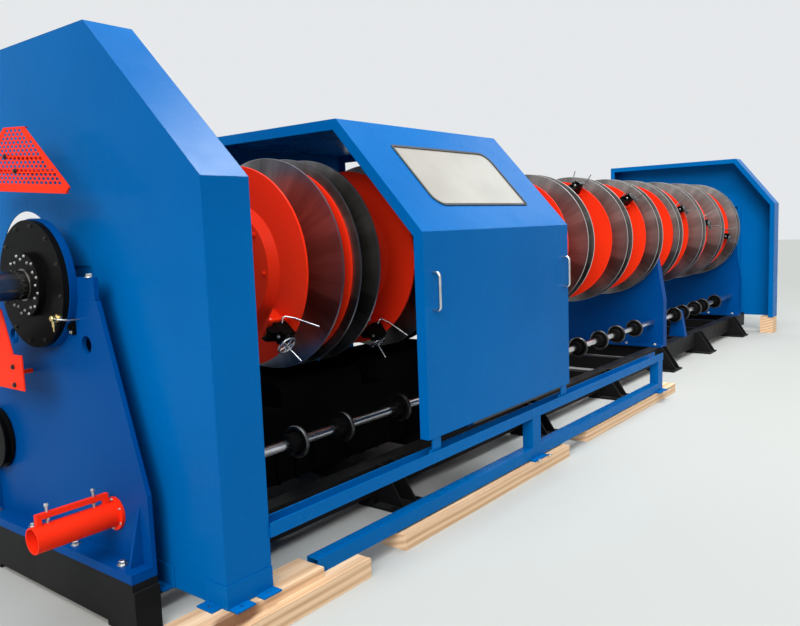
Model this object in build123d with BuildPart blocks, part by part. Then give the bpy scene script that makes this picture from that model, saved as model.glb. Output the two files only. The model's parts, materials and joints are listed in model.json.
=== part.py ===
from build123d import *
import os
from math import cos, hypot, radians, sin

# Concentric stranding machine: two rotors of taping heads on one line, carried by a
# pedestal and two stands on a black base, with an end cover at each end, a sliding hood,
# and a line shaft with flanged pulleys beside the rotors.
# X runs along the machine, Y away from the aisle, Z up, and the floor is at Z = 0.
# Stations are measured along the machine from its -X end.
# Reaches are measured across it, from the rotor axis towards the aisle, or towards +Y.

os.makedirs("parts", exist_ok=True)

# Rotor axis
AXIS_HEIGHT = 1320.0
FRONT_REACH = 1046.0
REAR_REACH = 1193.0

# Fits between pieces
SEAT_GAP = 0.3
SHAFT_GAP = 0.08

# End covers
COVER_DEPTH = 216.0
COVER_SHEET = 4.0
COVER_RETURN = 50.0
LEFT_COVER_STATION = 430.0
LEFT_COVER_FRONT = 959.0
LEFT_COVER_SHOULDER = 1700.0
LEFT_COVER_TOP = 2340.0
LEFT_COVER_SLOPE_REACH = 298.0
FAR_COVER_STATION = 9050.0
FAR_COVER_FRONT = 907.0
FAR_COVER_SHOULDER = 1611.0
FAR_COVER_TOP = 2186.0
FAR_COVER_SLOPE_REACH = 449.0
FAR_COVER_BOTTOM = 198.0
FAR_RIB_WIDTH = 40.0
FAR_RIB_DEPTH = 30.0
SKIRT_HEIGHT = 90.0
SKIRT_SHEET = 5.0
SKIRT_END_LENGTH = 130.0
TAB_WIDTH = 90.0
TAB_REACH = 52.0
TAB_THICKNESS = 6.0
TAB_HOLE_RADIUS = 7.0
TAB_SPACING = 130.0
END_TAB_INSET = 30.0
END_TAB_WIDTH = 90.0
INNER_SKIRT_FROM = 530.0
INNER_SKIRT_TO = 641.0

# Timber packers
COVER_TIMBER_LAYERS = 3
RAIL_TIMBER = 37.5
RAIL_TIMBER_LAYERS = 2
TIMBER_WIDTH = 150.0
COVER_TIMBER_STATION = 230.0
COVER_TIMBER_LENGTH = 900.0
COVER_TOP_TIMBER_LENGTH = 660.0
COVER_TOP_TIMBER_REACH = 1000.0
RAIL_TIMBER_1 = (1424.0, 1706.0, 1010.0)
RAIL_TIMBER_2 = (3489.0, 1771.0, 968.0)
WOOD_BLOCK_LENGTH = 200.0
WOOD_BLOCK_WIDTH = 150.0

# Base
BASE_TOP = 225.0
BASE_HALF_WIDTH = 520.0
BEAM_WIDTH = 100.0
BEAM_HEIGHT = 160.0
BEAM_WALL = 10.0
END_BEAM_STATION = 245.0
END_BEAM_HALF_LENGTH = 650.0
END_BEAM_HEIGHT = 160.0
END_BEAM_TOP = 180.0
CROSS_MEMBER_COUNT = 13
CROSS_MEMBER_WIDTH = 80.0
CROSS_MEMBER_HEIGHT = 120.0
FOOT_STATIONS = (1880.0, 3515.0, 4835.0, 6185.0, 7340.0, 8675.0)
FOOT_PLATE = 15.0
FOOT_LENGTH = 240.0
FOOT_REACH = 168.0
GUSSET_THICKNESS = 12.0
GUSSET_SPREAD = 110.0
GUSSET_TOP_WIDTH = 30.0
ANCHOR_SPACING = 190.0
ANCHOR_HOLE_RADIUS = 11.0
ANCHOR_EDGE = 40.0

# Left pedestal and its bearing
PEDESTAL_STATION = 335.0
PEDESTAL_WEB = 20.0
PEDESTAL_BRACE_INSET = 130.0
PEDESTAL_HALF_WIDTH = 640.0
PEDESTAL_KINK_HEIGHT = 525.0
PEDESTAL_NECK = 395.0
PEDESTAL_SHIM = 30.0
PEDESTAL_FOOT = 38.0
PEDESTAL_HOLE_RADIUS = 36.0
PEDESTAL_HOLE_REACH = 300.0
PEDESTAL_HOLE_DROP = 240.0
PEDESTAL_RIB_REACH = 578.0
PEDESTAL_RIB_HEIGHT = 228.0
PEDESTAL_RIB_LENGTH = 60.0
PEDESTAL_RIB = 14.0
SIDE_PLATE = 16.0
SPLIT_DROP = 62.0
HOUSING_RIM_RADIUS = 268.0
HOUSING_RIM_DEPTH = 30.0
HOUSING_RADIUS = 190.0
HOUSING_EAR_REACH = 388.0
HOUSING_EAR_HEIGHT = 90.0
BEARING_COVER_RADIUS = 262.0
BEARING_COVER_THICKNESS = 25.0
BEARING_BOSS_RADIUS = 132.0
BEARING_BOSS_THICKNESS = 30.0
BEARING_BOLT_CIRCLE = 104.0
BEARING_BOLTS = 12
BEARING_BOLT_RADIUS = 7.0

# Openings in the end walls
WALL_SHAFT_CLEARANCE = 12.0
WALL_SLOT_REACH = 223.0
WALL_SLOT_HEIGHT = 130.0
WALL_SLOT_CORNER = 25.0
WALL_FOOT_REACH = 524.0
WALL_FOOT_CLEARANCE = 4.0
BELT_OPENING_RADIUS = 262.0
BELT_OPENING_BACK = 290.0
BELT_OPENING_RISE = 45.0

# Stands 2 and 3
MID_STAND_STATION = 6190.0
FAR_STAND_STATION = 8925.0
STAND_WEB = 20.0
STAND_HALF_WIDTH = 540.0
STAND_KINK_HEIGHT = 690.0
STAND_NECK = 455.0
STAND_NECK_HEIGHT = 1184.0
STAND_FLANGE = 90.0
STAND_FLANGE_SHEET = 15.0
STAND_FOOT_DEPTH = 150.0
STAND_FOOT = 20.0
STAND_HEAD_RADIUS = 170.0
STAND_BEARING_RADIUS = 130.0
STAND_BEARING_DEPTH = 60.0

# Rotors
SHAFT_RADIUS = 66.0
SHAFT_BORE_RADIUS = 35.0
NOSE_STATION = 10.0
NOSE_RADIUS = 60.0
ROTOR_END_GAP = 10.0
PLATE_RADIUS = 518.0
PLATE_THICKNESS = 12.0
PLATE_HUB_RADIUS = 330.0
PLATE_HUB_HEIGHT = 40.0
PAN_RADIUS = 565.0
PAN_INNER_RADIUS = 250.0
PAN_CONE = 36.0
PAN_SHEET = 6.0
PAN_LIP = 10.0
PAN_PAIR_PITCH = 110.0
FIRST_HEAD_PITCH = 132.0
BACKING_GAP = 2.0
FIRST_HEAD_THIRD_PAN = 149.0
HEADS_1_FIRST = 1356.0
HEADS_1_STEPS = (851.0, 977.0, 976.0, 831.0, 783.0)
HEADS_1_PAN_GAPS = (208.0, 215.0, 220.0, 262.0, 236.0, 216.0)
HEADS_1_TURNS = (-142.0, -123.0, -60.0, 60.0, 117.0, 137.0)
HEADS_2_FIRST = 6518.0
HEADS_2_STEPS = (479.0, 663.0, 819.0)
HEADS_2_PAN_GAPS = (56.0, 337.0, 386.0, 233.0)
HEADS_2_TURNS = (30.0, 152.0, 170.0, -171.0)

# Tape guide on the -X face of each red plate
ARM_LENGTH = 140.0
ARM_INNER_RADIUS = 336.0
ARM_OUTER_RADIUS = 450.0
ARM_PLATE = 12.0
ARM_FLANGE_WIDTH = 96.0
CLAMP_LENGTH = 80.0
CLAMP_WIDTH = 66.0
CLAMP_HEIGHT = 86.0
SPINDLE_RADIUS = 8.0
SPINDLE_HEIGHT = 34.0
WHEEL_RADIUS = 52.0
WHEEL_THICKNESS = 10.0
WHEEL_HOLES = 6
WHEEL_HOLE_RADIUS = 11.0
WHEEL_HOLE_CIRCLE = 33.0
ROD_RADIUS = 5.0
ROD_LENGTH = 170.0
ROD_LEAN = 38.0

# Line shaft
LINE_SHAFT_REACH = 433.0
LINE_SHAFT_HEIGHT = 465.0
LINE_SHAFT_RADIUS = 25.0
LINE_SHAFT_STATION = 560.0
LINE_SHAFT_END = 8965.0
PULLEY_STATIONS = (
    1306.0, 1640.0, 2126.0, 2536.0, 2950.0, 3360.0, 3775.0, 4120.0,
    4493.0, 4914.0, 5282.0, 5705.0, 6815.0, 7070.0, 7482.0, 7760.0, 8239.0,
)
PULLEY_DRUM_RADIUS = 50.0
PULLEY_DRUM_LENGTH = 70.0
PULLEY_FLANGE_RADIUS = 80.0
PULLEY_FLANGE = 12.0
PILLOW_STATIONS = (700.0, 2740.0, 6940.0)
PILLOW_LENGTH = 70.0
PILLOW_BASE_WIDTH = 170.0
PILLOW_RADIUS = 45.0

# Hood
HOOD_STATION = 1700.0
HOOD_LENGTH = 1545.0
HOOD_SHEET = 4.0
HOOD_RETURN = 50.0
HOOD_REACH = 958.0
HOOD_SLOPE_REACH = 433.0
HOOD_BOTTOM = 450.0
HOOD_SHOULDER = 1470.0
HOOD_TOP = 2058.0
WINDOW_START = 300.0
WINDOW_LENGTH = 935.0
WINDOW_LOW = 178.0
WINDOW_HIGH = 612.0
WINDOW_BIG_RADIUS = 80.0
WINDOW_SMALL_RADIUS = 12.0
GASKET_WIDTH = 14.0
GASKET_PROUD = 5.0
HANDLE_INSET = 70.0
HANDLE_LOW = 1087.0
HANDLE_HIGH = 1271.0
HANDLE_RADIUS = 8.0
HANDLE_STANDOFF = 42.0
HANDLE_BEND = 20.0
HOOD_FOOT_WIDTH = 70.0
HOOD_FOOT_PLATE = 8.0
HOOD_FOOT_LAP = 70.0
ROLLER_RADIUS = 26.0
ROLLER_WIDTH = 24.0
ROLLER_AXLE_RADIUS = 8.0

# Rail frame, at the same reach on both sides
RAIL_REACH = 968.0
RAIL_WIDTH = 75.0
RAIL_HEIGHT = 57.0
RAIL_BASE = 330.0
RAIL_WALL = 5.0
RAIL_END_STATION = 4960.0
TUBE_SIZE = 65.0
TUBE_WALL = 4.0
POST_WIDTH = 98.0
POST_DEPTH = 70.0
POST_WALL = 5.0
POST_STATIONS = (2780.0, 4895.0)
POST_PLATE = 10.0
POST_PLATE_LAP = 30.0

# Drive, guards and lead-in tube at the -X end
GUARD_STATION = 260.0
GUARD_RISE = 370.0
GUARD_HEIGHT = 230.0
GUARD_LOW_HALF = 404.0
GUARD_HIGH_HALF = 81.0
GUARD_TILT = 4.2
GUARD_SHEET = 4.0
GUARD_EDGE = 22.0
GUARD_LIP = 25.0
GUARD_BRACKET = 30.0
LOWER_GUARD_STATION = 160.0
LOWER_GUARD_SHEET = 6.0
LOWER_GUARD_TOP_DROP = 90.0
LOWER_GUARD_TOP_BACK = 20.0
LOWER_GUARD_REACH = 48.0
LOWER_GUARD_TAB_DROP = 270.0
LOWER_GUARD_TAB_REACH = 121.0
LOWER_GUARD_LOW_DROP = 412.0
LOWER_GUARD_BACK = 330.0
GUARD_POST_RADIUS = 9.0
DRIVE_PULLEY_RADIUS = 145.0
DRIVE_PULLEY_WIDTH = 45.0
DRIVE_PULLEY_BACK = 525.0
DRIVE_PULLEY_HEIGHT = 592.0
DRIVE_STUB_RADIUS = 35.0
DRIVE_PULLEY_GAP = 6.0
DRIVE_GROOVE = 14.0
LEAD_TUBE_RADIUS = 50.0
LEAD_TUBE_WALL = 6.0
LEAD_TUBE_REACH = 416.0
LEAD_TUBE_HEIGHT = 417.0
LEAD_FLANGE_RADIUS = 66.0
LEAD_FLANGE = 14.0
LEAD_BAR = 20.0
LEAD_BAR_RISE = 42.0
LEAD_BAR_INSET = 18.0

# Gearbox on the base, below the first heads: low under the tape guides, high between them
GEARBOX_STATION = 1140.0
GEARBOX_END = 2960.0
GEARBOX_FRONT = 250.0
GEARBOX_BACK = 300.0
GEARBOX_LOW = 590.0
GEARBOX_HIGH = 715.0
GEARBOX_HIGH_SPANS = ((1400.0, 2020.0), (2250.0, 2960.0))
GEARBOX_CHAMFER = 45.0
GEARBOX_FLANGE = 22.0
GEARBOX_FLANGE_PROUD = 18.0
GEARBOX_RIB = 14.0
GEARBOX_RIB_PITCH = 130.0

MACHINE_LENGTH = FAR_COVER_STATION + COVER_DEPTH
BASE_END_STATION = MACHINE_LENGTH - COVER_SHEET
AXIS_Y = (FRONT_REACH - REAR_REACH) / 2
GUARD_LOW = AXIS_HEIGHT + GUARD_RISE
RAIL_FLOOR = RAIL_TIMBER * RAIL_TIMBER_LAYERS
COVER_TIMBER = (RAIL_FLOOR + POST_PLATE) / (COVER_TIMBER_LAYERS - 1)
LEFT_COVER_BOTTOM = COVER_TIMBER * COVER_TIMBER_LAYERS
BASE_BOTTOM = BASE_TOP - BEAM_HEIGHT
END_BEAM_WIDTH = PEDESTAL_STATION + PEDESTAL_WEB - END_BEAM_STATION
SHIM_TOP = END_BEAM_TOP + PEDESTAL_SHIM
PEDESTAL_FOOT_TOP = SHIM_TOP + PEDESTAL_FOOT


def along(station):
    """X of a station."""
    return station - MACHINE_LENGTH / 2


def front(reach):
    """Y of a reach towards the aisle."""
    return AXIS_Y - reach


def across(station):
    """Plane across the machine: its x is Y, its y is Z and its normal is +X."""
    return Plane.YZ.offset(along(station))


def level(height):
    """Level plane at a height."""
    return Plane.XY.offset(height)


def finish(piece, name):
    """Label a finished piece and write its file."""
    piece.label = name
    export_step(piece, f"parts/{name}.step")


def polygon(points, mode=Mode.ADD):
    """Closed face with straight sides, inside a sketch."""
    Polygon(*points, align=None, mode=mode)


def inward(points, index):
    """Unit normal of one side of a bent sheet, towards the inside."""
    (y1, z1), (y2, z2) = points[index], points[index + 1]
    length = hypot(y2 - y1, z2 - z1)
    return (z2 - z1) / length, (y1 - y2) / length


def inset(points, wall):
    """Corners of the line that lies one wall inside a bent sheet, mitred at its bends."""
    corners = []
    last = len(points) - 1
    for index, (y, z) in enumerate(points):
        before = inward(points, max(index - 1, 0))
        after = inward(points, min(index, last - 1))
        share = wall / (1 + before[0] * after[0] + before[1] * after[1])
        corners.append((y + share * (before[0] + after[0]), z + share * (before[1] + after[1])))
    return corners


def bent_panel(points, index, station, depth, sheet, fold, folds):
    """One flat side of a bent cover, with a fold inwards at each station in folds."""
    inner = inset(points, sheet)
    deep = inset(points, sheet + fold)
    ends = slice(index, index + 2)
    with BuildPart() as panel:
        with BuildSketch(across(station)):
            polygon(points[ends] + inner[ends][::-1])
        extrude(amount=depth)
        for place in folds:
            with BuildSketch(across(place)):
                polygon(inner[ends] + deep[ends][::-1])
            extrude(amount=sheet)
    return panel


def cover_line(reach, slope_reach, bottom, shoulder, top, rear):
    """Outer line of a cover across the machine, from its front bottom to its rear bottom."""
    return [
        (front(reach), bottom),
        (front(reach), shoulder),
        (front(slope_reach), top),
        (AXIS_Y + rear, top),
        (AXIS_Y + rear, bottom),
    ]


PANEL_NAMES = ("front", "slope", "top", "rear")


# Base: two beams, an end beam with a shim under the pedestal, cross members and feet
def channel(width, height, wall):
    """Channel section with its web at the left, drawn about its centre."""
    half, tall = width / 2, height / 2
    polygon([
        (-half, -tall), (half, -tall), (half, wall - tall), (wall - half, wall - tall),
        (wall - half, tall - wall), (half, tall - wall), (half, tall), (-half, tall),
    ])


beam_centre_height = BASE_TOP - BEAM_HEIGHT / 2
end_beam_side = END_BEAM_STATION + END_BEAM_WIDTH
with BuildPart() as base_beams:
    with BuildSketch(across(end_beam_side)):
        with Locations((front(BASE_HALF_WIDTH - BEAM_WIDTH / 2), beam_centre_height)):
            Rectangle(BEAM_WIDTH, BEAM_HEIGHT)
            Rectangle(BEAM_WIDTH - 2 * BEAM_WALL, BEAM_HEIGHT - 2 * BEAM_WALL, mode=Mode.SUBTRACT)
        with Locations((AXIS_Y + BASE_HALF_WIDTH - BEAM_WIDTH / 2, beam_centre_height)):
            Rectangle(BEAM_WIDTH, BEAM_HEIGHT)
            Rectangle(BEAM_WIDTH - 2 * BEAM_WALL, BEAM_HEIGHT - 2 * BEAM_WALL, mode=Mode.SUBTRACT)
    extrude(amount=BASE_END_STATION - end_beam_side)
finish(base_beams.part, "base_beams")

end_beam_middle = END_BEAM_TOP - END_BEAM_HEIGHT / 2
end_beam_x = along(END_BEAM_STATION + END_BEAM_WIDTH / 2)
with BuildPart() as base_end_beam:
    with BuildSketch(Plane.XZ.offset(-front(END_BEAM_HALF_LENGTH))):
        with Locations((end_beam_x, end_beam_middle)):
            channel(END_BEAM_WIDTH, END_BEAM_HEIGHT, BEAM_WALL)
    extrude(amount=-2 * END_BEAM_HALF_LENGTH)
    for end_plate_y in (front(END_BEAM_HALF_LENGTH), AXIS_Y + END_BEAM_HALF_LENGTH - BEAM_WALL):
        with BuildSketch(Plane.XZ.offset(-end_plate_y)):
            with Locations((end_beam_x, end_beam_middle)):
                Rectangle(END_BEAM_WIDTH, END_BEAM_HEIGHT)
        extrude(amount=-BEAM_WALL)
    with BuildSketch(level(END_BEAM_TOP)):
        with Locations((end_beam_x, AXIS_Y)):
            Rectangle(END_BEAM_WIDTH, 2 * PEDESTAL_HALF_WIDTH)
    extrude(amount=PEDESTAL_SHIM)
finish(base_end_beam.part, "base_end_beam")

cross_span = 2 * (BASE_HALF_WIDTH - BEAM_WIDTH)
cross_pitch = (BASE_END_STATION - end_beam_side - CROSS_MEMBER_WIDTH) / (CROSS_MEMBER_COUNT - 1)
with BuildPart() as base_cross_members:
    with BuildSketch(Plane.XZ.offset(-(AXIS_Y - cross_span / 2))):
        for number in range(CROSS_MEMBER_COUNT):
            place = end_beam_side + CROSS_MEMBER_WIDTH / 2 + number * cross_pitch
            with Locations((along(place), beam_centre_height)):
                channel(CROSS_MEMBER_WIDTH, CROSS_MEMBER_HEIGHT, BEAM_WALL)
    extrude(amount=-cross_span)
finish(base_cross_members.part, "base_cross_members")


# Feet: a floor plate under the beam with two triangular gussets up its outer side
def foot(station, side):
    """One foot; side is -1 at the aisle and +1 at the rear."""
    beam_side = AXIS_Y + side * BASE_HALF_WIDTH
    inner = beam_side - side * BEAM_WIDTH
    outer = beam_side + side * FOOT_REACH
    with BuildPart() as piece:
        with BuildSketch(level(0)):
            with Locations((along(station), (inner + outer) / 2)):
                Rectangle(FOOT_LENGTH, abs(outer - inner))
            for shift in (-ANCHOR_SPACING / 2, ANCHOR_SPACING / 2):
                with Locations((along(station) + shift, outer - side * ANCHOR_EDGE)):
                    Circle(ANCHOR_HOLE_RADIUS, mode=Mode.SUBTRACT)
        extrude(amount=FOOT_PLATE)
        with BuildSketch(level(FOOT_PLATE)):
            with Locations((along(station), (inner + beam_side) / 2)):
                Rectangle(FOOT_LENGTH, BEAM_WIDTH)
        extrude(amount=BASE_BOTTOM - FOOT_PLATE)
        for shift in (-GUSSET_SPREAD / 2, GUSSET_SPREAD / 2):
            with BuildSketch(across(station + shift - GUSSET_THICKNESS / 2)):
                polygon([
                    (beam_side, FOOT_PLATE), (outer, FOOT_PLATE),
                    (beam_side + side * GUSSET_TOP_WIDTH, BASE_TOP), (beam_side, BASE_TOP),
                ])
            extrude(amount=GUSSET_THICKNESS)
    return piece.part


with BuildPart() as base_feet:
    for foot_station in FOOT_STATIONS:
        for foot_side in (-1, 1):
            add(foot(foot_station, foot_side))
    for foot_side in (-1, 1):
        with BuildSketch(level(0)):
            with Locations((end_beam_x, AXIS_Y + foot_side * (END_BEAM_HALF_LENGTH - BEAM_WIDTH))):
                Rectangle(END_BEAM_WIDTH, 2 * BEAM_WIDTH)
        extrude(amount=END_BEAM_TOP - END_BEAM_HEIGHT)
finish(base_feet.part, "base_feet")


# Left pedestal: a web across the machine, braces behind its edges, and a foot
split_height = AXIS_HEIGHT - SPLIT_DROP
pedestal_edge = [
    (PEDESTAL_HALF_WIDTH, PEDESTAL_FOOT_TOP),
    (PEDESTAL_HALF_WIDTH, PEDESTAL_KINK_HEIGHT),
    (PEDESTAL_NECK, split_height),
]


def mirrored_outline(edge):
    """Symmetric outline from one edge of reaches and heights."""
    right = [(AXIS_Y + reach, height) for reach, height in edge]
    left = [(AXIS_Y - reach, height) for reach, height in reversed(edge)]
    return right + left


brace_station = PEDESTAL_STATION + PEDESTAL_WEB
brace_edge = [(pedestal_edge[0][0] - PEDESTAL_BRACE_INSET, BASE_TOP)]
brace_edge += [(reach - PEDESTAL_BRACE_INSET, height) for reach, height in pedestal_edge[1:]]
inner_edge = [(reach - SIDE_PLATE, height) for reach, height in brace_edge]
with BuildPart() as left_pedestal:
    with BuildSketch(across(PEDESTAL_STATION)):
        polygon(mirrored_outline(pedestal_edge))
        with Locations((AXIS_Y, AXIS_HEIGHT)):
            Circle(HOUSING_RADIUS + SEAT_GAP, mode=Mode.SUBTRACT)
        with Locations(
            (front(PEDESTAL_HOLE_REACH), AXIS_HEIGHT - PEDESTAL_HOLE_DROP),
            (AXIS_Y + PEDESTAL_HOLE_REACH, AXIS_HEIGHT - PEDESTAL_HOLE_DROP),
        ):
            Circle(PEDESTAL_HOLE_RADIUS, mode=Mode.SUBTRACT)
        with Locations((front(LEAD_TUBE_REACH), LEAD_TUBE_HEIGHT)):
            Circle(LEAD_TUBE_RADIUS - LEAD_TUBE_WALL, mode=Mode.SUBTRACT)
    extrude(amount=PEDESTAL_WEB)
    with BuildSketch(across(brace_station)):
        polygon(mirrored_outline(brace_edge))
        polygon(mirrored_outline(inner_edge), mode=Mode.SUBTRACT)
    extrude(amount=LEFT_COVER_STATION - brace_station)
    with BuildSketch(level(SHIM_TOP)):
        with Locations((end_beam_x, AXIS_Y)):
            Rectangle(END_BEAM_WIDTH, 2 * PEDESTAL_HALF_WIDTH)
    extrude(amount=PEDESTAL_FOOT)
    for rib_side in (-1, 1):
        with BuildSketch(Plane.XZ.offset(-(AXIS_Y + rib_side * PEDESTAL_RIB_REACH))):
            polygon([
                (along(PEDESTAL_STATION), PEDESTAL_FOOT_TOP),
                (along(PEDESTAL_STATION), PEDESTAL_FOOT_TOP + PEDESTAL_RIB_HEIGHT),
                (along(PEDESTAL_STATION - PEDESTAL_RIB_LENGTH), PEDESTAL_FOOT_TOP),
            ])
        extrude(amount=PEDESTAL_RIB / 2, both=True)
finish(left_pedestal.part, "left_pedestal")

# Bearing housing: a rim on the web and a body whose ears rest on the neck of the pedestal
housing_station = PEDESTAL_STATION - HOUSING_RIM_DEPTH
with BuildPart() as left_bearing_housing:
    with BuildSketch(across(housing_station)):
        with Locations((AXIS_Y, AXIS_HEIGHT)):
            Circle(HOUSING_RIM_RADIUS)
            Circle(SHAFT_RADIUS + SHAFT_GAP, mode=Mode.SUBTRACT)
    extrude(amount=HOUSING_RIM_DEPTH)
    with BuildSketch(across(PEDESTAL_STATION)):
        with Locations((AXIS_Y, split_height + HOUSING_EAR_HEIGHT / 2)):
            Rectangle(2 * HOUSING_EAR_REACH, HOUSING_EAR_HEIGHT)
        with Locations((AXIS_Y, AXIS_HEIGHT)):
            Circle(HOUSING_RADIUS)
            Circle(SHAFT_RADIUS + SHAFT_GAP, mode=Mode.SUBTRACT)
    extrude(amount=PEDESTAL_WEB)
finish(left_bearing_housing.part, "left_bearing_housing")

cover_face_station = housing_station - BEARING_COVER_THICKNESS
boss_face_station = cover_face_station - BEARING_BOSS_THICKNESS
with BuildPart() as left_bearing_cover:
    with BuildSketch(across(cover_face_station)):
        with Locations((AXIS_Y, AXIS_HEIGHT)):
            Circle(BEARING_COVER_RADIUS)
            Circle(SHAFT_RADIUS + SHAFT_GAP, mode=Mode.SUBTRACT)
    extrude(amount=BEARING_COVER_THICKNESS)
    with BuildSketch(across(boss_face_station)):
        with Locations((AXIS_Y, AXIS_HEIGHT)):
            Circle(BEARING_BOSS_RADIUS)
            Circle(SHAFT_RADIUS + SHAFT_GAP, mode=Mode.SUBTRACT)
            with PolarLocations(BEARING_BOLT_CIRCLE, BEARING_BOLTS):
                Circle(BEARING_BOLT_RADIUS, mode=Mode.SUBTRACT)
    extrude(amount=BEARING_BOSS_THICKNESS)
finish(left_bearing_cover.part, "left_bearing_cover")


# Left end cover: bent sheets, open towards the rotors, with an end wall behind the pedestal
left_line = cover_line(
    LEFT_COVER_FRONT, LEFT_COVER_SLOPE_REACH, LEFT_COVER_BOTTOM,
    LEFT_COVER_SHOULDER, LEFT_COVER_TOP, REAR_REACH,
)
left_open_station = LEFT_COVER_STATION + COVER_DEPTH
for side_index, side_name in enumerate(PANEL_NAMES):
    side_panel = bent_panel(
        left_line, side_index, LEFT_COVER_STATION, COVER_DEPTH, COVER_SHEET,
        COVER_RETURN, [left_open_station - COVER_SHEET],
    )
    finish(side_panel.part, f"left_cover_{side_name}")

shaft_cut = SHAFT_RADIUS + WALL_SHAFT_CLEARANCE
foot_cut_height = BASE_TOP + WALL_FOOT_CLEARANCE - LEFT_COVER_BOTTOM
with BuildPart() as left_cover_end:
    with BuildSketch(across(LEFT_COVER_STATION)):
        polygon(inset(left_line, COVER_SHEET))
        with Locations((AXIS_Y, LEFT_COVER_BOTTOM + foot_cut_height / 2)):
            Rectangle(2 * WALL_FOOT_REACH, foot_cut_height, mode=Mode.SUBTRACT)
        with Locations((AXIS_Y, AXIS_HEIGHT)):
            RectangleRounded(
                2 * WALL_SLOT_REACH, WALL_SLOT_HEIGHT, WALL_SLOT_CORNER, mode=Mode.SUBTRACT,
            )
            Circle(shaft_cut, mode=Mode.SUBTRACT)
        with Locations((AXIS_Y + BELT_OPENING_BACK, AXIS_HEIGHT + BELT_OPENING_RISE)):
            Circle(BELT_OPENING_RADIUS, mode=Mode.SUBTRACT)
    extrude(amount=COVER_SHEET)
finish(left_cover_end.part, "left_cover_end")

# Skirting round the front foot of the left cover and beside the pedestal, with fixing tabs
skirt_y = front(LEFT_COVER_FRONT)
skirt_x = along(LEFT_COVER_STATION + COVER_DEPTH / 2)
skirt_end_x = along(LEFT_COVER_STATION)
end_tab_y = skirt_y + END_TAB_INSET + END_TAB_WIDTH / 2
inner_skirt_y = front((INNER_SKIRT_FROM + INNER_SKIRT_TO) / 2)
with BuildPart() as left_cover_skirt:
    with BuildSketch(level(LEFT_COVER_BOTTOM)):
        with Locations((skirt_x - SKIRT_SHEET / 2, skirt_y - SKIRT_SHEET / 2)):
            Rectangle(COVER_DEPTH + SKIRT_SHEET, SKIRT_SHEET)
        with Locations((skirt_end_x - SKIRT_SHEET / 2, skirt_y + SKIRT_END_LENGTH / 2)):
            Rectangle(SKIRT_SHEET, SKIRT_END_LENGTH)
        with Locations((skirt_end_x - SKIRT_SHEET / 2, inner_skirt_y)):
            Rectangle(SKIRT_SHEET, INNER_SKIRT_TO - INNER_SKIRT_FROM)
    extrude(amount=SKIRT_HEIGHT)
    with BuildSketch(level(LEFT_COVER_BOTTOM)):
        for tab_shift in (-TAB_SPACING / 2, TAB_SPACING / 2):
            with Locations((skirt_x + tab_shift, skirt_y - TAB_REACH / 2)):
                Rectangle(TAB_WIDTH, TAB_REACH)
                Circle(TAB_HOLE_RADIUS, mode=Mode.SUBTRACT)
        for tab_y in (end_tab_y, inner_skirt_y):
            with Locations((skirt_end_x - TAB_REACH / 2, tab_y)):
                Rectangle(TAB_REACH, END_TAB_WIDTH)
                Circle(TAB_HOLE_RADIUS, mode=Mode.SUBTRACT)
    extrude(amount=TAB_THICKNESS)
finish(left_cover_skirt.part, "left_cover_skirt")


# Far end cover: the same bent sheets, open towards the rotors, with a ribbed end wall
far_line = cover_line(
    FAR_COVER_FRONT, FAR_COVER_SLOPE_REACH, FAR_COVER_BOTTOM,
    FAR_COVER_SHOULDER, FAR_COVER_TOP, REAR_REACH,
)
for side_index, side_name in enumerate(PANEL_NAMES):
    side_panel = bent_panel(
        far_line, side_index, FAR_COVER_STATION, COVER_DEPTH, COVER_SHEET,
        COVER_RETURN, [FAR_COVER_STATION],
    )
    finish(side_panel.part, f"far_cover_{side_name}")

far_wall_station = FAR_COVER_STATION + COVER_DEPTH - COVER_SHEET
with BuildPart() as far_cover_end:
    with BuildSketch(across(far_wall_station)):
        polygon(inset(far_line, COVER_SHEET))
        with Locations((AXIS_Y, AXIS_HEIGHT)):
            Circle(shaft_cut, mode=Mode.SUBTRACT)
    extrude(amount=COVER_SHEET)
    with BuildSketch(across(far_wall_station - FAR_RIB_DEPTH)):
        with Locations(
            (front(FAR_COVER_SLOPE_REACH), (BASE_TOP + FAR_COVER_SHOULDER) / 2),
            (AXIS_Y + FAR_COVER_SLOPE_REACH, (BASE_TOP + FAR_COVER_SHOULDER) / 2),
        ):
            Rectangle(FAR_RIB_WIDTH, FAR_COVER_SHOULDER - BASE_TOP)
        with Locations((AXIS_Y, FAR_COVER_SHOULDER)):
            Rectangle(2 * FAR_COVER_SLOPE_REACH, FAR_RIB_WIDTH)
    extrude(amount=FAR_RIB_DEPTH)
finish(far_cover_end.part, "far_cover_end")


# Stands 2 and 3: a web with flanges down its edges, a foot, and a round head at the axis
stand_edge = [
    (STAND_HALF_WIDTH, BASE_TOP + STAND_FOOT),
    (STAND_HALF_WIDTH, STAND_KINK_HEIGHT),
    (STAND_NECK, STAND_NECK_HEIGHT),
]
stand_inner_edge = [(reach - STAND_FLANGE_SHEET, height) for reach, height in stand_edge]
stand_head_top = AXIS_HEIGHT + STAND_HEAD_RADIUS


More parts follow.
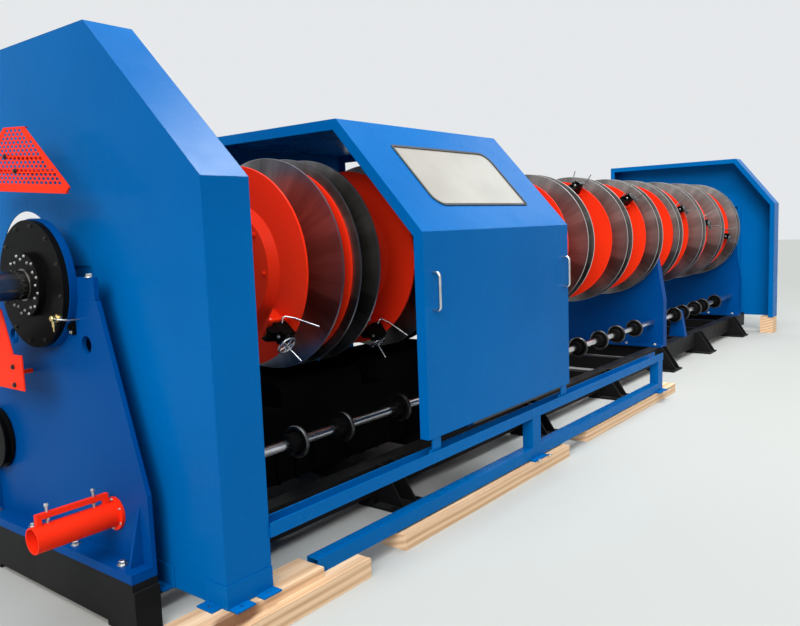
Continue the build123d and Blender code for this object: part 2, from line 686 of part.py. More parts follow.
def stand(station):
    """One plate stand, with a hole for its bearing and one for the line shaft."""
    with BuildPart() as piece:
        with BuildSketch(across(station)):
            polygon(mirrored_outline(stand_edge + [(STAND_HEAD_RADIUS, stand_head_top)]))
            with Locations((AXIS_Y, AXIS_HEIGHT)):
                Circle(STAND_BEARING_RADIUS + SEAT_GAP, mode=Mode.SUBTRACT)
            with Locations((front(LINE_SHAFT_REACH), LINE_SHAFT_HEIGHT)):
                Circle(LINE_SHAFT_RADIUS + SHAFT_GAP, mode=Mode.SUBTRACT)
        extrude(amount=STAND_WEB)
        with BuildSketch(across(station)):
            polygon(mirrored_outline(stand_edge))
            polygon(mirrored_outline(stand_inner_edge), mode=Mode.SUBTRACT)
        extrude(amount=STAND_FLANGE)
        with BuildSketch(level(BASE_TOP)):
            with Locations((along(station + STAND_WEB / 2), AXIS_Y)):
                Rectangle(STAND_FOOT_DEPTH, 2 * STAND_HALF_WIDTH)
        extrude(amount=STAND_FOOT)
    return piece.part


def stand_bearing(station):
    """Flanged ring that carries both shaft ends in a stand."""
    with BuildPart() as piece:
        with BuildSketch(across(station + STAND_WEB / 2 - STAND_BEARING_DEPTH / 2)):
            with Locations((AXIS_Y, AXIS_HEIGHT)):
                Circle(STAND_BEARING_RADIUS)
                Circle(SHAFT_RADIUS + SHAFT_GAP, mode=Mode.SUBTRACT)
        extrude(amount=STAND_BEARING_DEPTH)
    return piece.part


finish(stand(MID_STAND_STATION), "mid_stand")
finish(stand(FAR_STAND_STATION), "far_stand")
finish(stand_bearing(MID_STAND_STATION), "mid_bearing")
finish(stand_bearing(FAR_STAND_STATION), "far_bearing")


# Rotors: a hollow shaft with a red plate, a pair of pans and a tape guide for each head
def head_plates(first, steps):
    """Stations of the red plates of one rotor."""
    stations = [first]
    for step in steps:
        stations.append(stations[-1] + step)
    return stations


def turned(outline, station, y=AXIS_Y, z=AXIS_HEIGHT):
    """Piece turned about a line along X, from points of radius and distance towards +X."""
    centre = (along(station), y, z)
    with BuildPart() as piece:
        with BuildSketch(Plane(origin=centre, x_dir=(0, 0, 1), z_dir=(0, 1, 0))):
            polygon(outline)
        revolve(axis=Axis(centre, (1, 0, 0)))
    return piece.part


def plate_outline():
    """Red plate with a raised hub on its -X face."""
    bore = SHAFT_RADIUS + SEAT_GAP
    return [
        (bore, -PLATE_HUB_HEIGHT),
        (PLATE_HUB_RADIUS - PLATE_HUB_HEIGHT, -PLATE_HUB_HEIGHT),
        (PLATE_HUB_RADIUS, 0),
        (PLATE_RADIUS, 0),
        (PLATE_RADIUS, PLATE_THICKNESS),
        (bore, PLATE_THICKNESS),
    ]


def backing_outline():
    """Red plate that follows the cone of the second pan of the first head."""
    bore = SHAFT_RADIUS + SEAT_GAP
    rise = PAN_CONE * (PLATE_RADIUS - PAN_INNER_RADIUS) / (PAN_RADIUS - PAN_INNER_RADIUS)
    back = -PAN_CONE - BACKING_GAP
    return [
        (bore, back - PLATE_THICKNESS),
        (PAN_INNER_RADIUS, back - PLATE_THICKNESS),
        (PLATE_RADIUS, back + rise - PLATE_THICKNESS),
        (PLATE_RADIUS, back + rise),
        (PAN_INNER_RADIUS, back),
        (bore, back),
    ]


def pan_outline():
    """Conical pan with its hub towards -X and a turned lip at its rim."""
    bore = SHAFT_RADIUS + SEAT_GAP
    return [
        (bore, -PAN_CONE),
        (PAN_INNER_RADIUS, -PAN_CONE),
        (PAN_RADIUS, 0),
        (PAN_RADIUS, PAN_LIP),
        (PAN_RADIUS - PAN_SHEET, PAN_LIP),
        (PAN_INNER_RADIUS, PAN_SHEET - PAN_CONE),
        (bore, PAN_SHEET - PAN_CONE),
    ]


def guide_frame(station, turn):
    """Plane of one tape guide: its x is +X, its y is the radius at the guide's turn."""
    tangent = (0, -sin(radians(turn)), cos(radians(turn)))
    return Plane(origin=(along(station), AXIS_Y, AXIS_HEIGHT), x_dir=(1, 0, 0), z_dir=tangent)


def guide_point(station, turn, length, radius, side=0.0):
    """Point of a guide from its distance along X, its radius and its sideways offset."""
    frame = guide_frame(station, turn)
    return frame.origin + frame.x_dir * length + frame.y_dir * radius + frame.z_dir * side


def guide_arm(station, turn):
    """Gusset on the red plate with a flange across its outer edge."""
    with BuildPart() as piece:
        with BuildSketch(guide_frame(station, turn)):
            polygon([(0, ARM_INNER_RADIUS), (0, ARM_OUTER_RADIUS), (-ARM_LENGTH, ARM_OUTER_RADIUS)])
        extrude(amount=ARM_PLATE / 2, both=True)
        with BuildSketch(guide_frame(station, turn)):
            with Locations((-ARM_LENGTH / 2, ARM_OUTER_RADIUS + ARM_PLATE / 2)):
                Rectangle(ARM_LENGTH, ARM_PLATE)
        extrude(amount=ARM_FLANGE_WIDTH / 2, both=True)
    return piece.part


clamp_radius = ARM_OUTER_RADIUS + ARM_PLATE
wheel_radius_from = clamp_radius + CLAMP_HEIGHT + SPINDLE_HEIGHT


def guide_clamp(station, turn):
    """Black clamp block under the flange of the arm."""
    with BuildPart() as piece:
        with BuildSketch(guide_frame(station, turn)):
            with Locations((-ARM_LENGTH / 2, clamp_radius + CLAMP_HEIGHT / 2)):
                Rectangle(CLAMP_LENGTH, CLAMP_HEIGHT)
        extrude(amount=CLAMP_WIDTH / 2, both=True)
    return piece.part


def guide_wheel(station, turn):
    """Spindle on the clamp with its perforated hand wheel."""
    frame = guide_frame(station, turn)
    radial = frame.y_dir
    foot_point = guide_point(station, turn, -ARM_LENGTH / 2, clamp_radius + CLAMP_HEIGHT)
    wheel_point = guide_point(station, turn, -ARM_LENGTH / 2, wheel_radius_from)
    with BuildPart() as piece:
        with BuildSketch(Plane(origin=foot_point, x_dir=(1, 0, 0), z_dir=radial)):
            Circle(SPINDLE_RADIUS)
        extrude(amount=SPINDLE_HEIGHT)
        with BuildSketch(Plane(origin=wheel_point, x_dir=(1, 0, 0), z_dir=radial)):
            Circle(WHEEL_RADIUS)
            with PolarLocations(WHEEL_HOLE_CIRCLE, WHEEL_HOLES):
                Circle(WHEEL_HOLE_RADIUS, mode=Mode.SUBTRACT)
        extrude(amount=WHEEL_THICKNESS)
    return piece.part


def guide_rod(station, turn):
    """Bright rod that leans out of the side of the clamp."""
    frame = guide_frame(station, turn)
    start = guide_point(
        station, turn, -ARM_LENGTH / 2, clamp_radius + CLAMP_HEIGHT / 2, -CLAMP_WIDTH / 2,
    )
    lean = radians(ROD_LEAN)
    way = frame.y_dir * sin(lean) - frame.z_dir * cos(lean)
    with BuildPart() as piece:
        with BuildSketch(Plane(origin=start, x_dir=(1, 0, 0), z_dir=-frame.z_dir)):
            Circle(ROD_RADIUS)
        extrude(amount=ROD_LENGTH, dir=way)
    return piece.part


def rotor(name, shaft_from, shoulder, shaft_to, plates, pan_gaps, turns, backed_head):
    """Write the pieces of one rotor, whose shaft is turned down before its shoulder."""
    shaft_outline = [
        (SHAFT_BORE_RADIUS, 0), (NOSE_RADIUS, 0), (NOSE_RADIUS, shoulder - shaft_from),
        (SHAFT_RADIUS, shoulder - shaft_from), (SHAFT_RADIUS, shaft_to - shaft_from),
        (SHAFT_BORE_RADIUS, shaft_to - shaft_from),
    ]
    finish(turned(shaft_outline, shaft_from), f"{name}_shaft")

    first_pair_end = plates[0] + pan_gaps[0] + FIRST_HEAD_PITCH
    with BuildPart() as red_plates:
        for station in plates:
            add(turned(plate_outline(), station))
        if backed_head:
            add(turned(backing_outline(), first_pair_end))
    finish(red_plates.part, f"{name}_red_plates")

    with BuildPart() as pans:
        for number, (station, gap) in enumerate(zip(plates, pan_gaps)):
            first_head = backed_head and number == 0
            pitch = FIRST_HEAD_PITCH if first_head else PAN_PAIR_PITCH
            add(turned(pan_outline(), station + gap))
            add(turned(pan_outline(), station + gap + pitch))
            if first_head:
                add(turned(pan_outline(), first_pair_end + FIRST_HEAD_THIRD_PAN))
    finish(pans.part, f"{name}_pans")

    with BuildPart() as arms:
        for station, turn in zip(plates, turns):
            add(guide_arm(station, turn))
    finish(arms.part, f"{name}_guide_arms")
    with BuildPart() as clamps:
        for station, turn in zip(plates, turns):
            add(guide_clamp(station, turn))
    finish(clamps.part, f"{name}_guide_clamps")
    with BuildPart() as rods:
        for station, turn in zip(plates, turns):
            add(guide_wheel(station, turn))
            add(guide_rod(station, turn))
    finish(rods.part, f"{name}_guide_wheels")


mid_stand_centre = MID_STAND_STATION + STAND_WEB / 2
far_stand_centre = FAR_STAND_STATION + STAND_WEB / 2
rotor(
    "rotor_1", NOSE_STATION, boss_face_station, mid_stand_centre - ROTOR_END_GAP / 2,
    head_plates(HEADS_1_FIRST, HEADS_1_STEPS), HEADS_1_PAN_GAPS, HEADS_1_TURNS, True,
)
rotor(
    "rotor_2", mid_stand_centre + ROTOR_END_GAP / 2, mid_stand_centre + STAND_BEARING_DEPTH / 2,
    far_stand_centre + STAND_BEARING_DEPTH / 2,
    head_plates(HEADS_2_FIRST, HEADS_2_STEPS), HEADS_2_PAN_GAPS, HEADS_2_TURNS, False,
)


# Line shaft with its flanged pulleys, in pillow blocks on the front beam
line_y = front(LINE_SHAFT_REACH)
with BuildPart() as line_shaft:
    with BuildSketch(across(LINE_SHAFT_STATION)):
        with Locations((line_y, LINE_SHAFT_HEIGHT)):
            Circle(LINE_SHAFT_RADIUS)
    extrude(amount=LINE_SHAFT_END - LINE_SHAFT_STATION)
finish(line_shaft.part, "line_shaft")

pulley_bore = LINE_SHAFT_RADIUS + SEAT_GAP
pulley_outline = [
    (pulley_bore, 0),
    (PULLEY_DRUM_RADIUS, 0),
    (PULLEY_DRUM_RADIUS, PULLEY_DRUM_LENGTH),
    (PULLEY_FLANGE_RADIUS, PULLEY_DRUM_LENGTH),
    (PULLEY_FLANGE_RADIUS, PULLEY_DRUM_LENGTH + PULLEY_FLANGE),
    (pulley_bore, PULLEY_DRUM_LENGTH + PULLEY_FLANGE),
]
with BuildPart() as line_shaft_pulleys:
    for pulley_station in PULLEY_STATIONS:
        add(turned(pulley_outline, pulley_station - PULLEY_DRUM_LENGTH, line_y, LINE_SHAFT_HEIGHT))
finish(line_shaft_pulleys.part, "line_shaft_pulleys")

with BuildPart() as line_shaft_bearings:
    for pillow_station in PILLOW_STATIONS:
        with BuildSketch(across(pillow_station - PILLOW_LENGTH / 2)):
            polygon([
                (front(BASE_HALF_WIDTH), BASE_TOP),
                (front(BASE_HALF_WIDTH - PILLOW_BASE_WIDTH), BASE_TOP),
                (line_y + PILLOW_RADIUS, LINE_SHAFT_HEIGHT),
                (line_y - PILLOW_RADIUS, LINE_SHAFT_HEIGHT),
            ])
            with Locations((line_y, LINE_SHAFT_HEIGHT)):
                Circle(PILLOW_RADIUS)
                Circle(LINE_SHAFT_RADIUS + SHAFT_GAP, mode=Mode.SUBTRACT)
        extrude(amount=PILLOW_LENGTH)
finish(line_shaft_bearings.part, "line_shaft_bearings")


# Sliding hood: bent sheets with folds at both open ends, a window in the slope
hood_line = cover_line(
    HOOD_REACH, HOOD_SLOPE_REACH, HOOD_BOTTOM, HOOD_SHOULDER, HOOD_TOP, HOOD_REACH,
)
hood_folds = [HOOD_STATION, HOOD_STATION + HOOD_LENGTH - HOOD_SHEET]
slope_index = PANEL_NAMES.index("slope")
slope_in = inward(hood_line, slope_index)
slope_plane = Plane(
    origin=(along(HOOD_STATION), *hood_line[slope_index]),
    x_dir=(1, 0, 0), z_dir=(0, -slope_in[0], -slope_in[1]),
)


def window_face(grow, mode=Mode.ADD):
    """Window outline on the slope: two corners well rounded and two nearly sharp."""
    low_x, high_x = WINDOW_START - grow, WINDOW_START + WINDOW_LENGTH + grow
    low, high = WINDOW_LOW - grow, WINDOW_HIGH + grow
    small, big = WINDOW_SMALL_RADIUS + grow, WINDOW_BIG_RADIUS + grow
    with BuildLine() as outline:
        FilletPolyline(
            (low_x, low), (high_x, low), (high_x, high), (low_x, high),
            radius=[big, small, big, small], close=True,
        )
    make_face(outline.line.edges(), mode=mode)


for side_index, side_name in enumerate(PANEL_NAMES):
    side_panel = bent_panel(
        hood_line, side_index, HOOD_STATION, HOOD_LENGTH, HOOD_SHEET, HOOD_RETURN, hood_folds,
    )
    with BuildPart() as hood_panel:
        add(side_panel.part)
        if side_index == slope_index:
            with BuildSketch(slope_plane):
                window_face(0)
            extrude(amount=-HOOD_SHEET, mode=Mode.SUBTRACT)
    finish(hood_panel.part, f"hood_{side_name}")

with BuildPart() as hood_window:
    with BuildSketch(slope_plane):
        window_face(-SEAT_GAP)
    extrude(amount=-HOOD_SHEET)
finish(hood_window.part, "hood_window")

with BuildPart() as hood_gasket:
    with BuildSketch(slope_plane):
        window_face(GASKET_WIDTH / 2)
    extrude(amount=GASKET_PROUD)
    with BuildSketch(slope_plane):
        window_face(-GASKET_WIDTH / 2)
    extrude(amount=GASKET_PROUD, mode=Mode.SUBTRACT)
finish(hood_gasket.part, "hood_gasket")

with BuildPart() as hood_handles:
    for inset_from_end in (HANDLE_INSET, HOOD_LENGTH - HANDLE_INSET):
        handle_x = along(HOOD_STATION + inset_from_end)
        foot_y = front(HOOD_REACH)
        grip_y = front(HOOD_REACH + HANDLE_STANDOFF)
        with BuildLine() as handle_path:
            FilletPolyline(
                (handle_x, foot_y, HANDLE_LOW), (handle_x, grip_y, HANDLE_LOW),
                (handle_x, grip_y, HANDLE_HIGH), (handle_x, foot_y, HANDLE_HIGH),
                radius=HANDLE_BEND,
            )
        with BuildSketch(Plane(origin=(handle_x, foot_y, HANDLE_LOW), z_dir=(0, -1, 0))):
            Circle(HANDLE_RADIUS)
        sweep(path=handle_path.line)
finish(hood_handles.part, "hood_handles")

roller_reach = RAIL_REACH - RAIL_WIDTH / 2
roller_height = RAIL_BASE + RAIL_WALL + SEAT_GAP + ROLLER_RADIUS
foot_face = HOOD_REACH - HOOD_SHEET
with BuildPart() as hood_feet:
    for foot_offset in (HOOD_FOOT_WIDTH, HOOD_LENGTH - HOOD_FOOT_WIDTH):
        foot_x = along(HOOD_STATION + foot_offset)
        for foot_side in (-1, 1):
            plate_y = AXIS_Y + foot_side * foot_face
            inner_y = plate_y - foot_side * HOOD_FOOT_PLATE
            roller_y = AXIS_Y + foot_side * (roller_reach - ROLLER_WIDTH / 2)
            with BuildSketch(Plane.XZ.offset(-plate_y)):
                with Locations((
                    foot_x, (HOOD_BOTTOM + HOOD_FOOT_LAP + roller_height - ROLLER_AXLE_RADIUS) / 2,
                )):
                    Rectangle(
                        HOOD_FOOT_WIDTH,
                        HOOD_BOTTOM + HOOD_FOOT_LAP - roller_height + ROLLER_AXLE_RADIUS,
                    )
                with Locations((foot_x, roller_height)):
                    Circle(2 * ROLLER_AXLE_RADIUS)
            extrude(amount=foot_side * HOOD_FOOT_PLATE)
            with BuildSketch(Plane.XZ.offset(-inner_y)):
                with Locations((foot_x, roller_height)):
                    Circle(ROLLER_AXLE_RADIUS)
            extrude(amount=foot_side * abs(inner_y - roller_y))
            with BuildSketch(Plane.XZ.offset(-roller_y)):
                with Locations((foot_x, roller_height)):
                    Circle(ROLLER_RADIUS)
            extrude(amount=-foot_side * ROLLER_WIDTH)
finish(hood_feet.part, "hood_feet")


# Rail frame: channel, tube and posts at the front and the same at the rear
rail_floor_z = RAIL_FLOOR + POST_PLATE
rail_start = left_open_station
with BuildPart() as rail_channels:
    for side in (-1, 1):
        with BuildSketch(across(rail_start)):
            centre_y = AXIS_Y + side * (RAIL_REACH - RAIL_WIDTH / 2)
            with Locations((centre_y, RAIL_BASE + RAIL_HEIGHT / 2)):
                Rectangle(RAIL_WIDTH, RAIL_HEIGHT)
            with Locations((centre_y, RAIL_BASE + RAIL_WALL + RAIL_HEIGHT / 2)):
                Rectangle(RAIL_WIDTH - 2 * RAIL_WALL, RAIL_HEIGHT, mode=Mode.SUBTRACT)
        extrude(amount=RAIL_END_STATION - rail_start)
finish(rail_channels.part, "rail_channels")

with BuildPart() as rail_posts:
    for post_station in POST_STATIONS:
        for side in (-1, 1):
            post_at = (along(post_station), AXIS_Y + side * (RAIL_REACH - POST_DEPTH / 2))
            with BuildSketch(level(RAIL_FLOOR)):
                with Locations(post_at):
                    Rectangle(POST_WIDTH + 2 * POST_PLATE_LAP, POST_DEPTH + 2 * POST_PLATE_LAP)
            extrude(amount=POST_PLATE)
            with BuildSketch(level(rail_floor_z)):
                with Locations(post_at):
                    Rectangle(POST_WIDTH, POST_DEPTH)
                    Rectangle(
                        POST_WIDTH - 2 * POST_WALL, POST_DEPTH - 2 * POST_WALL,
                        mode=Mode.SUBTRACT,
                    )
            extrude(amount=RAIL_BASE - rail_floor_z)
finish(rail_posts.part, "rail_posts")

tube_ends = [COVER_TIMBER_STATION + COVER_TOP_TIMBER_LENGTH]
for post_station in POST_STATIONS:
    tube_ends += [post_station - POST_WIDTH / 2, post_station + POST_WIDTH / 2]
with BuildPart() as rail_tubes:
    for tube_from, tube_to in zip(tube_ends[0:-1:2], tube_ends[1:-1:2]):
        for side in (-1, 1):
            tube_at = (AXIS_Y + side * (RAIL_REACH - TUBE_SIZE / 2), rail_floor_z + TUBE_SIZE / 2)
            with BuildSketch(across(tube_from)):
                with Locations(tube_at):
                    Rectangle(TUBE_SIZE, TUBE_SIZE)
                    Rectangle(
                        TUBE_SIZE - 2 * TUBE_WALL, TUBE_SIZE - 2 * TUBE_WALL,
                        mode=Mode.SUBTRACT,
                    )
            extrude(amount=tube_to - tube_from)
finish(rail_tubes.part, "rail_tubes")


# Timber packers in layers, and the wood blocks under the far cover
def timber(start, length, side, reach, bottom, thickness):
    """One board along the machine; side is -1 at the aisle and +1 at the rear."""
    with BuildPart() as board:
        with BuildSketch(level(bottom)):
            with Locations((along(start + length / 2), AXIS_Y + side * (reach - TIMBER_WIDTH / 2))):
                Rectangle(length, TIMBER_WIDTH)
        extrude(amount=thickness)
    return board.part


for layer in range(COVER_TIMBER_LAYERS):
    with BuildPart() as timber_layer:
        for timber_side, cover_reach in ((-1, FRONT_REACH), (1, REAR_REACH)):
            if layer < RAIL_TIMBER_LAYERS:
                add(timber(
                    COVER_TIMBER_STATION, COVER_TIMBER_LENGTH, timber_side, cover_reach,
                    layer * COVER_TIMBER, COVER_TIMBER,
                ))
                for timber_start, timber_length, timber_reach in (RAIL_TIMBER_1, RAIL_TIMBER_2):
                    add(timber(
                        timber_start, timber_length, timber_side, timber_reach,
                        layer * RAIL_TIMBER, RAIL_TIMBER,
                    ))
            else:
                add(timber(
                    COVER_TIMBER_STATION, COVER_TOP_TIMBER_LENGTH, timber_side,
                    cover_reach - FRONT_REACH + COVER_TOP_TIMBER_REACH,
                    layer * COVER_TIMBER, COVER_TIMBER,
                ))
    finish(timber_layer.part, f"timber_layer_{layer + 1}")

with BuildPart() as far_wood_blocks:
    for block_y in (
        front(FAR_COVER_FRONT) + WOOD_BLOCK_WIDTH / 2,
        AXIS_Y + REAR_REACH - WOOD_BLOCK_WIDTH / 2,
    ):
        with BuildSketch(level(0)):
            with Locations((along(FAR_COVER_STATION + COVER_DEPTH / 2), block_y)):
                Rectangle(WOOD_BLOCK_LENGTH, WOOD_BLOCK_WIDTH)
        extrude(amount=FAR_COVER_BOTTOM)
finish(far_wood_blocks.part, "far_wood_blocks")


# Upper belt guard: a tilted tray with folded edges on three distance rods from the end wall
def guard_plane(station):
    """Plane of the guard: its x runs along the lower edge from the middle of that edge."""
    tilt = radians(GUARD_TILT)
    rise = GUARD_LOW_HALF * sin(tilt)
    middle = (along(station), front(GUARD_LOW_HALF * (1 - cos(tilt))), GUARD_LOW + rise)
    return Plane(origin=middle, x_dir=(0, cos(tilt), sin(tilt)), z_dir=(1, 0, 0))


guard_rods = [
    (0, GUARD_HEIGHT / 4), (GUARD_LOW_HALF / 2, GUARD_HEIGHT / 4),
    (GUARD_HIGH_HALF, GUARD_HEIGHT / 2),
]
with BuildPart() as belt_guard_upper:
    with BuildSketch(guard_plane(GUARD_STATION)):
        polygon([
            (-GUARD_LOW_HALF, 0), (GUARD_LIP - GUARD_LOW_HALF, -GUARD_LIP),
            (GUARD_LOW_HALF - GUARD_LIP, -GUARD_LIP), (GUARD_LOW_HALF, 0),
            (GUARD_HIGH_HALF, GUARD_HEIGHT), (-GUARD_HIGH_HALF, GUARD_HEIGHT),
        ])
    extrude(amount=GUARD_EDGE)
    offset(
        amount=-GUARD_SHEET, openings=belt_guard_upper.faces().sort_by(Axis.X)[-1],
    )
    with BuildSketch(guard_plane(GUARD_STATION + GUARD_SHEET)):
        with Locations(*guard_rods):
            Circle(GUARD_POST_RADIUS)
    extrude(amount=LEFT_COVER_STATION - GUARD_STATION - GUARD_SHEET)
finish(belt_guard_upper.part, "belt_guard_upper")

# Lower guard: a flat plate on two distance rods from the pedestal, hung from the axis
lower_guard_low = AXIS_HEIGHT - LOWER_GUARD_LOW_DROP
lower_guard_tab = AXIS_HEIGHT - LOWER_GUARD_TAB_DROP
with BuildPart() as belt_guard_lower:
    with BuildSketch(across(LOWER_GUARD_STATION)):
        polygon([
            (AXIS_Y + LOWER_GUARD_TOP_BACK, AXIS_HEIGHT - LOWER_GUARD_TOP_DROP),
            (front(LOWER_GUARD_REACH), lower_guard_tab),
            (front(LOWER_GUARD_TAB_REACH), lower_guard_tab),
            (front(LOWER_GUARD_TAB_REACH), lower_guard_low),
            (AXIS_Y + LOWER_GUARD_BACK, lower_guard_low),
            (AXIS_Y + LOWER_GUARD_BACK, lower_guard_tab),
        ])
    extrude(amount=LOWER_GUARD_SHEET)
    with BuildSketch(across(LOWER_GUARD_STATION + LOWER_GUARD_SHEET)):
        for rod_y in (LOWER_GUARD_BACK / 2, LOWER_GUARD_BACK - GUARD_BRACKET):
            with Locations((AXIS_Y + rod_y, lower_guard_low + GUARD_BRACKET)):
                Circle(GUARD_POST_RADIUS)
    extrude(amount=PEDESTAL_STATION - LOWER_GUARD_STATION - LOWER_GUARD_SHEET)
finish(belt_guard_lower.part, "belt_guard_lower")

# Drive pulley on a fixed stub
stub_y = AXIS_Y + DRIVE_PULLEY_BACK
with BuildPart() as drive_stub:
    with BuildSketch(across(PEDESTAL_STATION - DRIVE_PULLEY_WIDTH - 2 * DRIVE_PULLEY_GAP)):
        with Locations((stub_y, DRIVE_PULLEY_HEIGHT)):
            Circle(DRIVE_STUB_RADIUS)
    extrude(amount=DRIVE_PULLEY_WIDTH + 2 * DRIVE_PULLEY_GAP)
finish(drive_stub.part, "drive_stub")

pulley_side = DRIVE_PULLEY_RADIUS - DRIVE_GROOVE
with BuildPart() as drive_pulley:
    add(turned(
        [
            (DRIVE_STUB_RADIUS + SHAFT_GAP, 0), (DRIVE_PULLEY_RADIUS, 0),
            (DRIVE_PULLEY_RADIUS, DRIVE_PULLEY_WIDTH / 4), (pulley_side, DRIVE_PULLEY_WIDTH / 4),
            (pulley_side, 3 * DRIVE_PULLEY_WIDTH / 4),
            (DRIVE_PULLEY_RADIUS, 3 * DRIVE_PULLEY_WIDTH / 4),
            (DRIVE_PULLEY_RADIUS, DRIVE_PULLEY_WIDTH),
            (DRIVE_STUB_RADIUS + SHAFT_GAP, DRIVE_PULLEY_WIDTH),
        ],
        PEDESTAL_STATION - DRIVE_PULLEY_WIDTH - DRIVE_PULLEY_GAP, stub_y, DRIVE_PULLEY_HEIGHT,
    ))
finish(drive_pulley.part, "drive_pulley")

# Red lead-in tube with its flange and the bar above it
lead_y = front(LEAD_TUBE_REACH)
lead_bar_top = LEAD_TUBE_HEIGHT + LEAD_TUBE_RADIUS + LEAD_BAR_RISE
lead_bar_end = PEDESTAL_STATION - LEAD_FLANGE - LEAD_BAR_INSET
with BuildPart() as lead_tube:
    with BuildSketch(across(PEDESTAL_STATION - LEAD_FLANGE)):
        with Locations((lead_y, LEAD_TUBE_HEIGHT)):
            Circle(LEAD_FLANGE_RADIUS)
    extrude(amount=LEAD_FLANGE)
    with BuildSketch(across(0)):
        with Locations((lead_y, LEAD_TUBE_HEIGHT)):
            Circle(LEAD_TUBE_RADIUS)
    extrude(amount=PEDESTAL_STATION - LEAD_FLANGE)
    with BuildSketch(Plane.XZ.offset(-lead_y)):
        polygon([
            (along(LEAD_BAR_INSET), LEAD_TUBE_HEIGHT), (along(LEAD_BAR_INSET), lead_bar_top),
            (along(lead_bar_end), lead_bar_top), (along(lead_bar_end), LEAD_TUBE_HEIGHT),
        ])
        polygon(
            [
                (along(LEAD_BAR_INSET + LEAD_BAR), LEAD_TUBE_HEIGHT),
                (along(LEAD_BAR_INSET + LEAD_BAR), lead_bar_top - LEAD_BAR),
                (along(lead_bar_end - LEAD_BAR), lead_bar_top - LEAD_BAR),
                (along(lead_bar_end - LEAD_BAR), LEAD_TUBE_HEIGHT),
            ],
            mode=Mode.SUBTRACT,
        )
    extrude(amount=LEAD_BAR / 2, both=True)
    with BuildSketch(across(0)):
        with Locations((lead_y, LEAD_TUBE_HEIGHT)):
            Circle(LEAD_TUBE_RADIUS - LEAD_TUBE_WALL)
    extrude(amount=PEDESTAL_STATION, mode=Mode.SUBTRACT)
finish(lead_tube.part, "lead_tube")

# Gearbox on the cross members: a stepped housing with a parting flange and ribbed sides
gearbox_base = beam_centre_height + CROSS_MEMBER_HEIGHT / 2
gearbox_split = (gearbox_base + GEARBOX_LOW) / 2
gearbox_width = GEARBOX_FRONT + GEARBOX_BACK
gearbox_y = AXIS_Y + (GEARBOX_BACK - GEARBOX_FRONT) / 2
gearbox_x = along((GEARBOX_STATION + GEARBOX_END) / 2)
gearbox_length = GEARBOX_END - GEARBOX_STATION
with BuildPart() as drive_gearbox:
    with BuildSketch(level(gearbox_base)):
        with Locations((gearbox_x, gearbox_y)):
            Rectangle(gearbox_length, gearbox_width)
    extrude(amount=GEARBOX_LOW - gearbox_base)
    with BuildSketch(level(GEARBOX_LOW)):
        for span_from, span_to in GEARBOX_HIGH_SPANS:
            with Locations((along((span_from + span_to) / 2), gearbox_y)):
                Rectangle(span_to - span_from, gearbox_width)
    extrude(amount=GEARBOX_HIGH - GEARBOX_LOW)
    top_edges = drive_gearbox.faces().filter_by(Axis.Z).sort_by(Axis.Z)[-2:].edges()
    chamfer(top_edges.filter_by(Axis.X), length=GEARBOX_CHAMFER)
    with BuildSketch(level(gearbox_split - GEARBOX_FLANGE / 2)):
        with Locations((gearbox_x, gearbox_y)):
            Rectangle(gearbox_length, gearbox_width + 2 * GEARBOX_FLANGE_PROUD)
    extrude(amount=GEARBOX_FLANGE)
    rib_count = int(gearbox_length / GEARBOX_RIB_PITCH)
    with BuildSketch(level(gearbox_base)):
        with Locations((gearbox_x, gearbox_y)):
            with GridLocations(GEARBOX_RIB_PITCH, 1, rib_count, 1):
                Rectangle(GEARBOX_RIB, gearbox_width + 2 * GEARBOX_FLANGE_PROUD)
    extrude(amount=gearbox_split - gearbox_base)
finish(drive_gearbox.part, "drive_gearbox")
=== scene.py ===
# %% [markdown]
# # Concentric stranding machine
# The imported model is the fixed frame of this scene. X runs along the machine, Y goes away
# from the aisle and Z is up, in metres, with the floor at Z = 0. Sizes below are in
# millimetres, and stations are measured along the machine from its -X end.

import json
import math

import bmesh
import bpy
from mathutils import Matrix, Vector


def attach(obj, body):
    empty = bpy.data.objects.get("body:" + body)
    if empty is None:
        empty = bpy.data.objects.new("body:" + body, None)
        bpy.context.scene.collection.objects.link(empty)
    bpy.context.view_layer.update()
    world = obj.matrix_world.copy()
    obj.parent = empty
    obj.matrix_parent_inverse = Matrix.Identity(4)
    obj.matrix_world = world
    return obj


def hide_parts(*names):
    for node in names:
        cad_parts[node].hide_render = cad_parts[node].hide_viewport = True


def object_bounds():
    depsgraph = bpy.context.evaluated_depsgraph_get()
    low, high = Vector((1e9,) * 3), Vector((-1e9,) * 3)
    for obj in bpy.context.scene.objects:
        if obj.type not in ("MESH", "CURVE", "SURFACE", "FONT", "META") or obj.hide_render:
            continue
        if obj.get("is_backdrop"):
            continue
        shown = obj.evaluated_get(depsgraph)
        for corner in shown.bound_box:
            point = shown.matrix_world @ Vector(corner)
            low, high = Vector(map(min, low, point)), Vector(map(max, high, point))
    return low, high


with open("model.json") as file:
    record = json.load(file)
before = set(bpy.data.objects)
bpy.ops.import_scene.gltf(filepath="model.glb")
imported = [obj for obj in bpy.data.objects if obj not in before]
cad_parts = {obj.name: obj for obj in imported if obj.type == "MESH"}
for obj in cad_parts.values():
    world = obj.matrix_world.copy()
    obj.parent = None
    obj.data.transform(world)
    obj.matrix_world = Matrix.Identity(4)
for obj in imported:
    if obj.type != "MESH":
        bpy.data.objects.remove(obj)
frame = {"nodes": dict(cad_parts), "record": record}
cad_box = [list(corner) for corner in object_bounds()]

MM = 0.001
MACHINE_START = cad_box[0][0]
AXIS_Y = -0.0735
AXIS_Z = 1.320


def point(station, across, height):
    """Place from a station, a distance from the rotor axis towards +Y, and a height."""
    return Vector((MACHINE_START + station * MM, AXIS_Y + across * MM, height * MM))


print("nodes:", len(frame["nodes"]))
print("box:", cad_box)

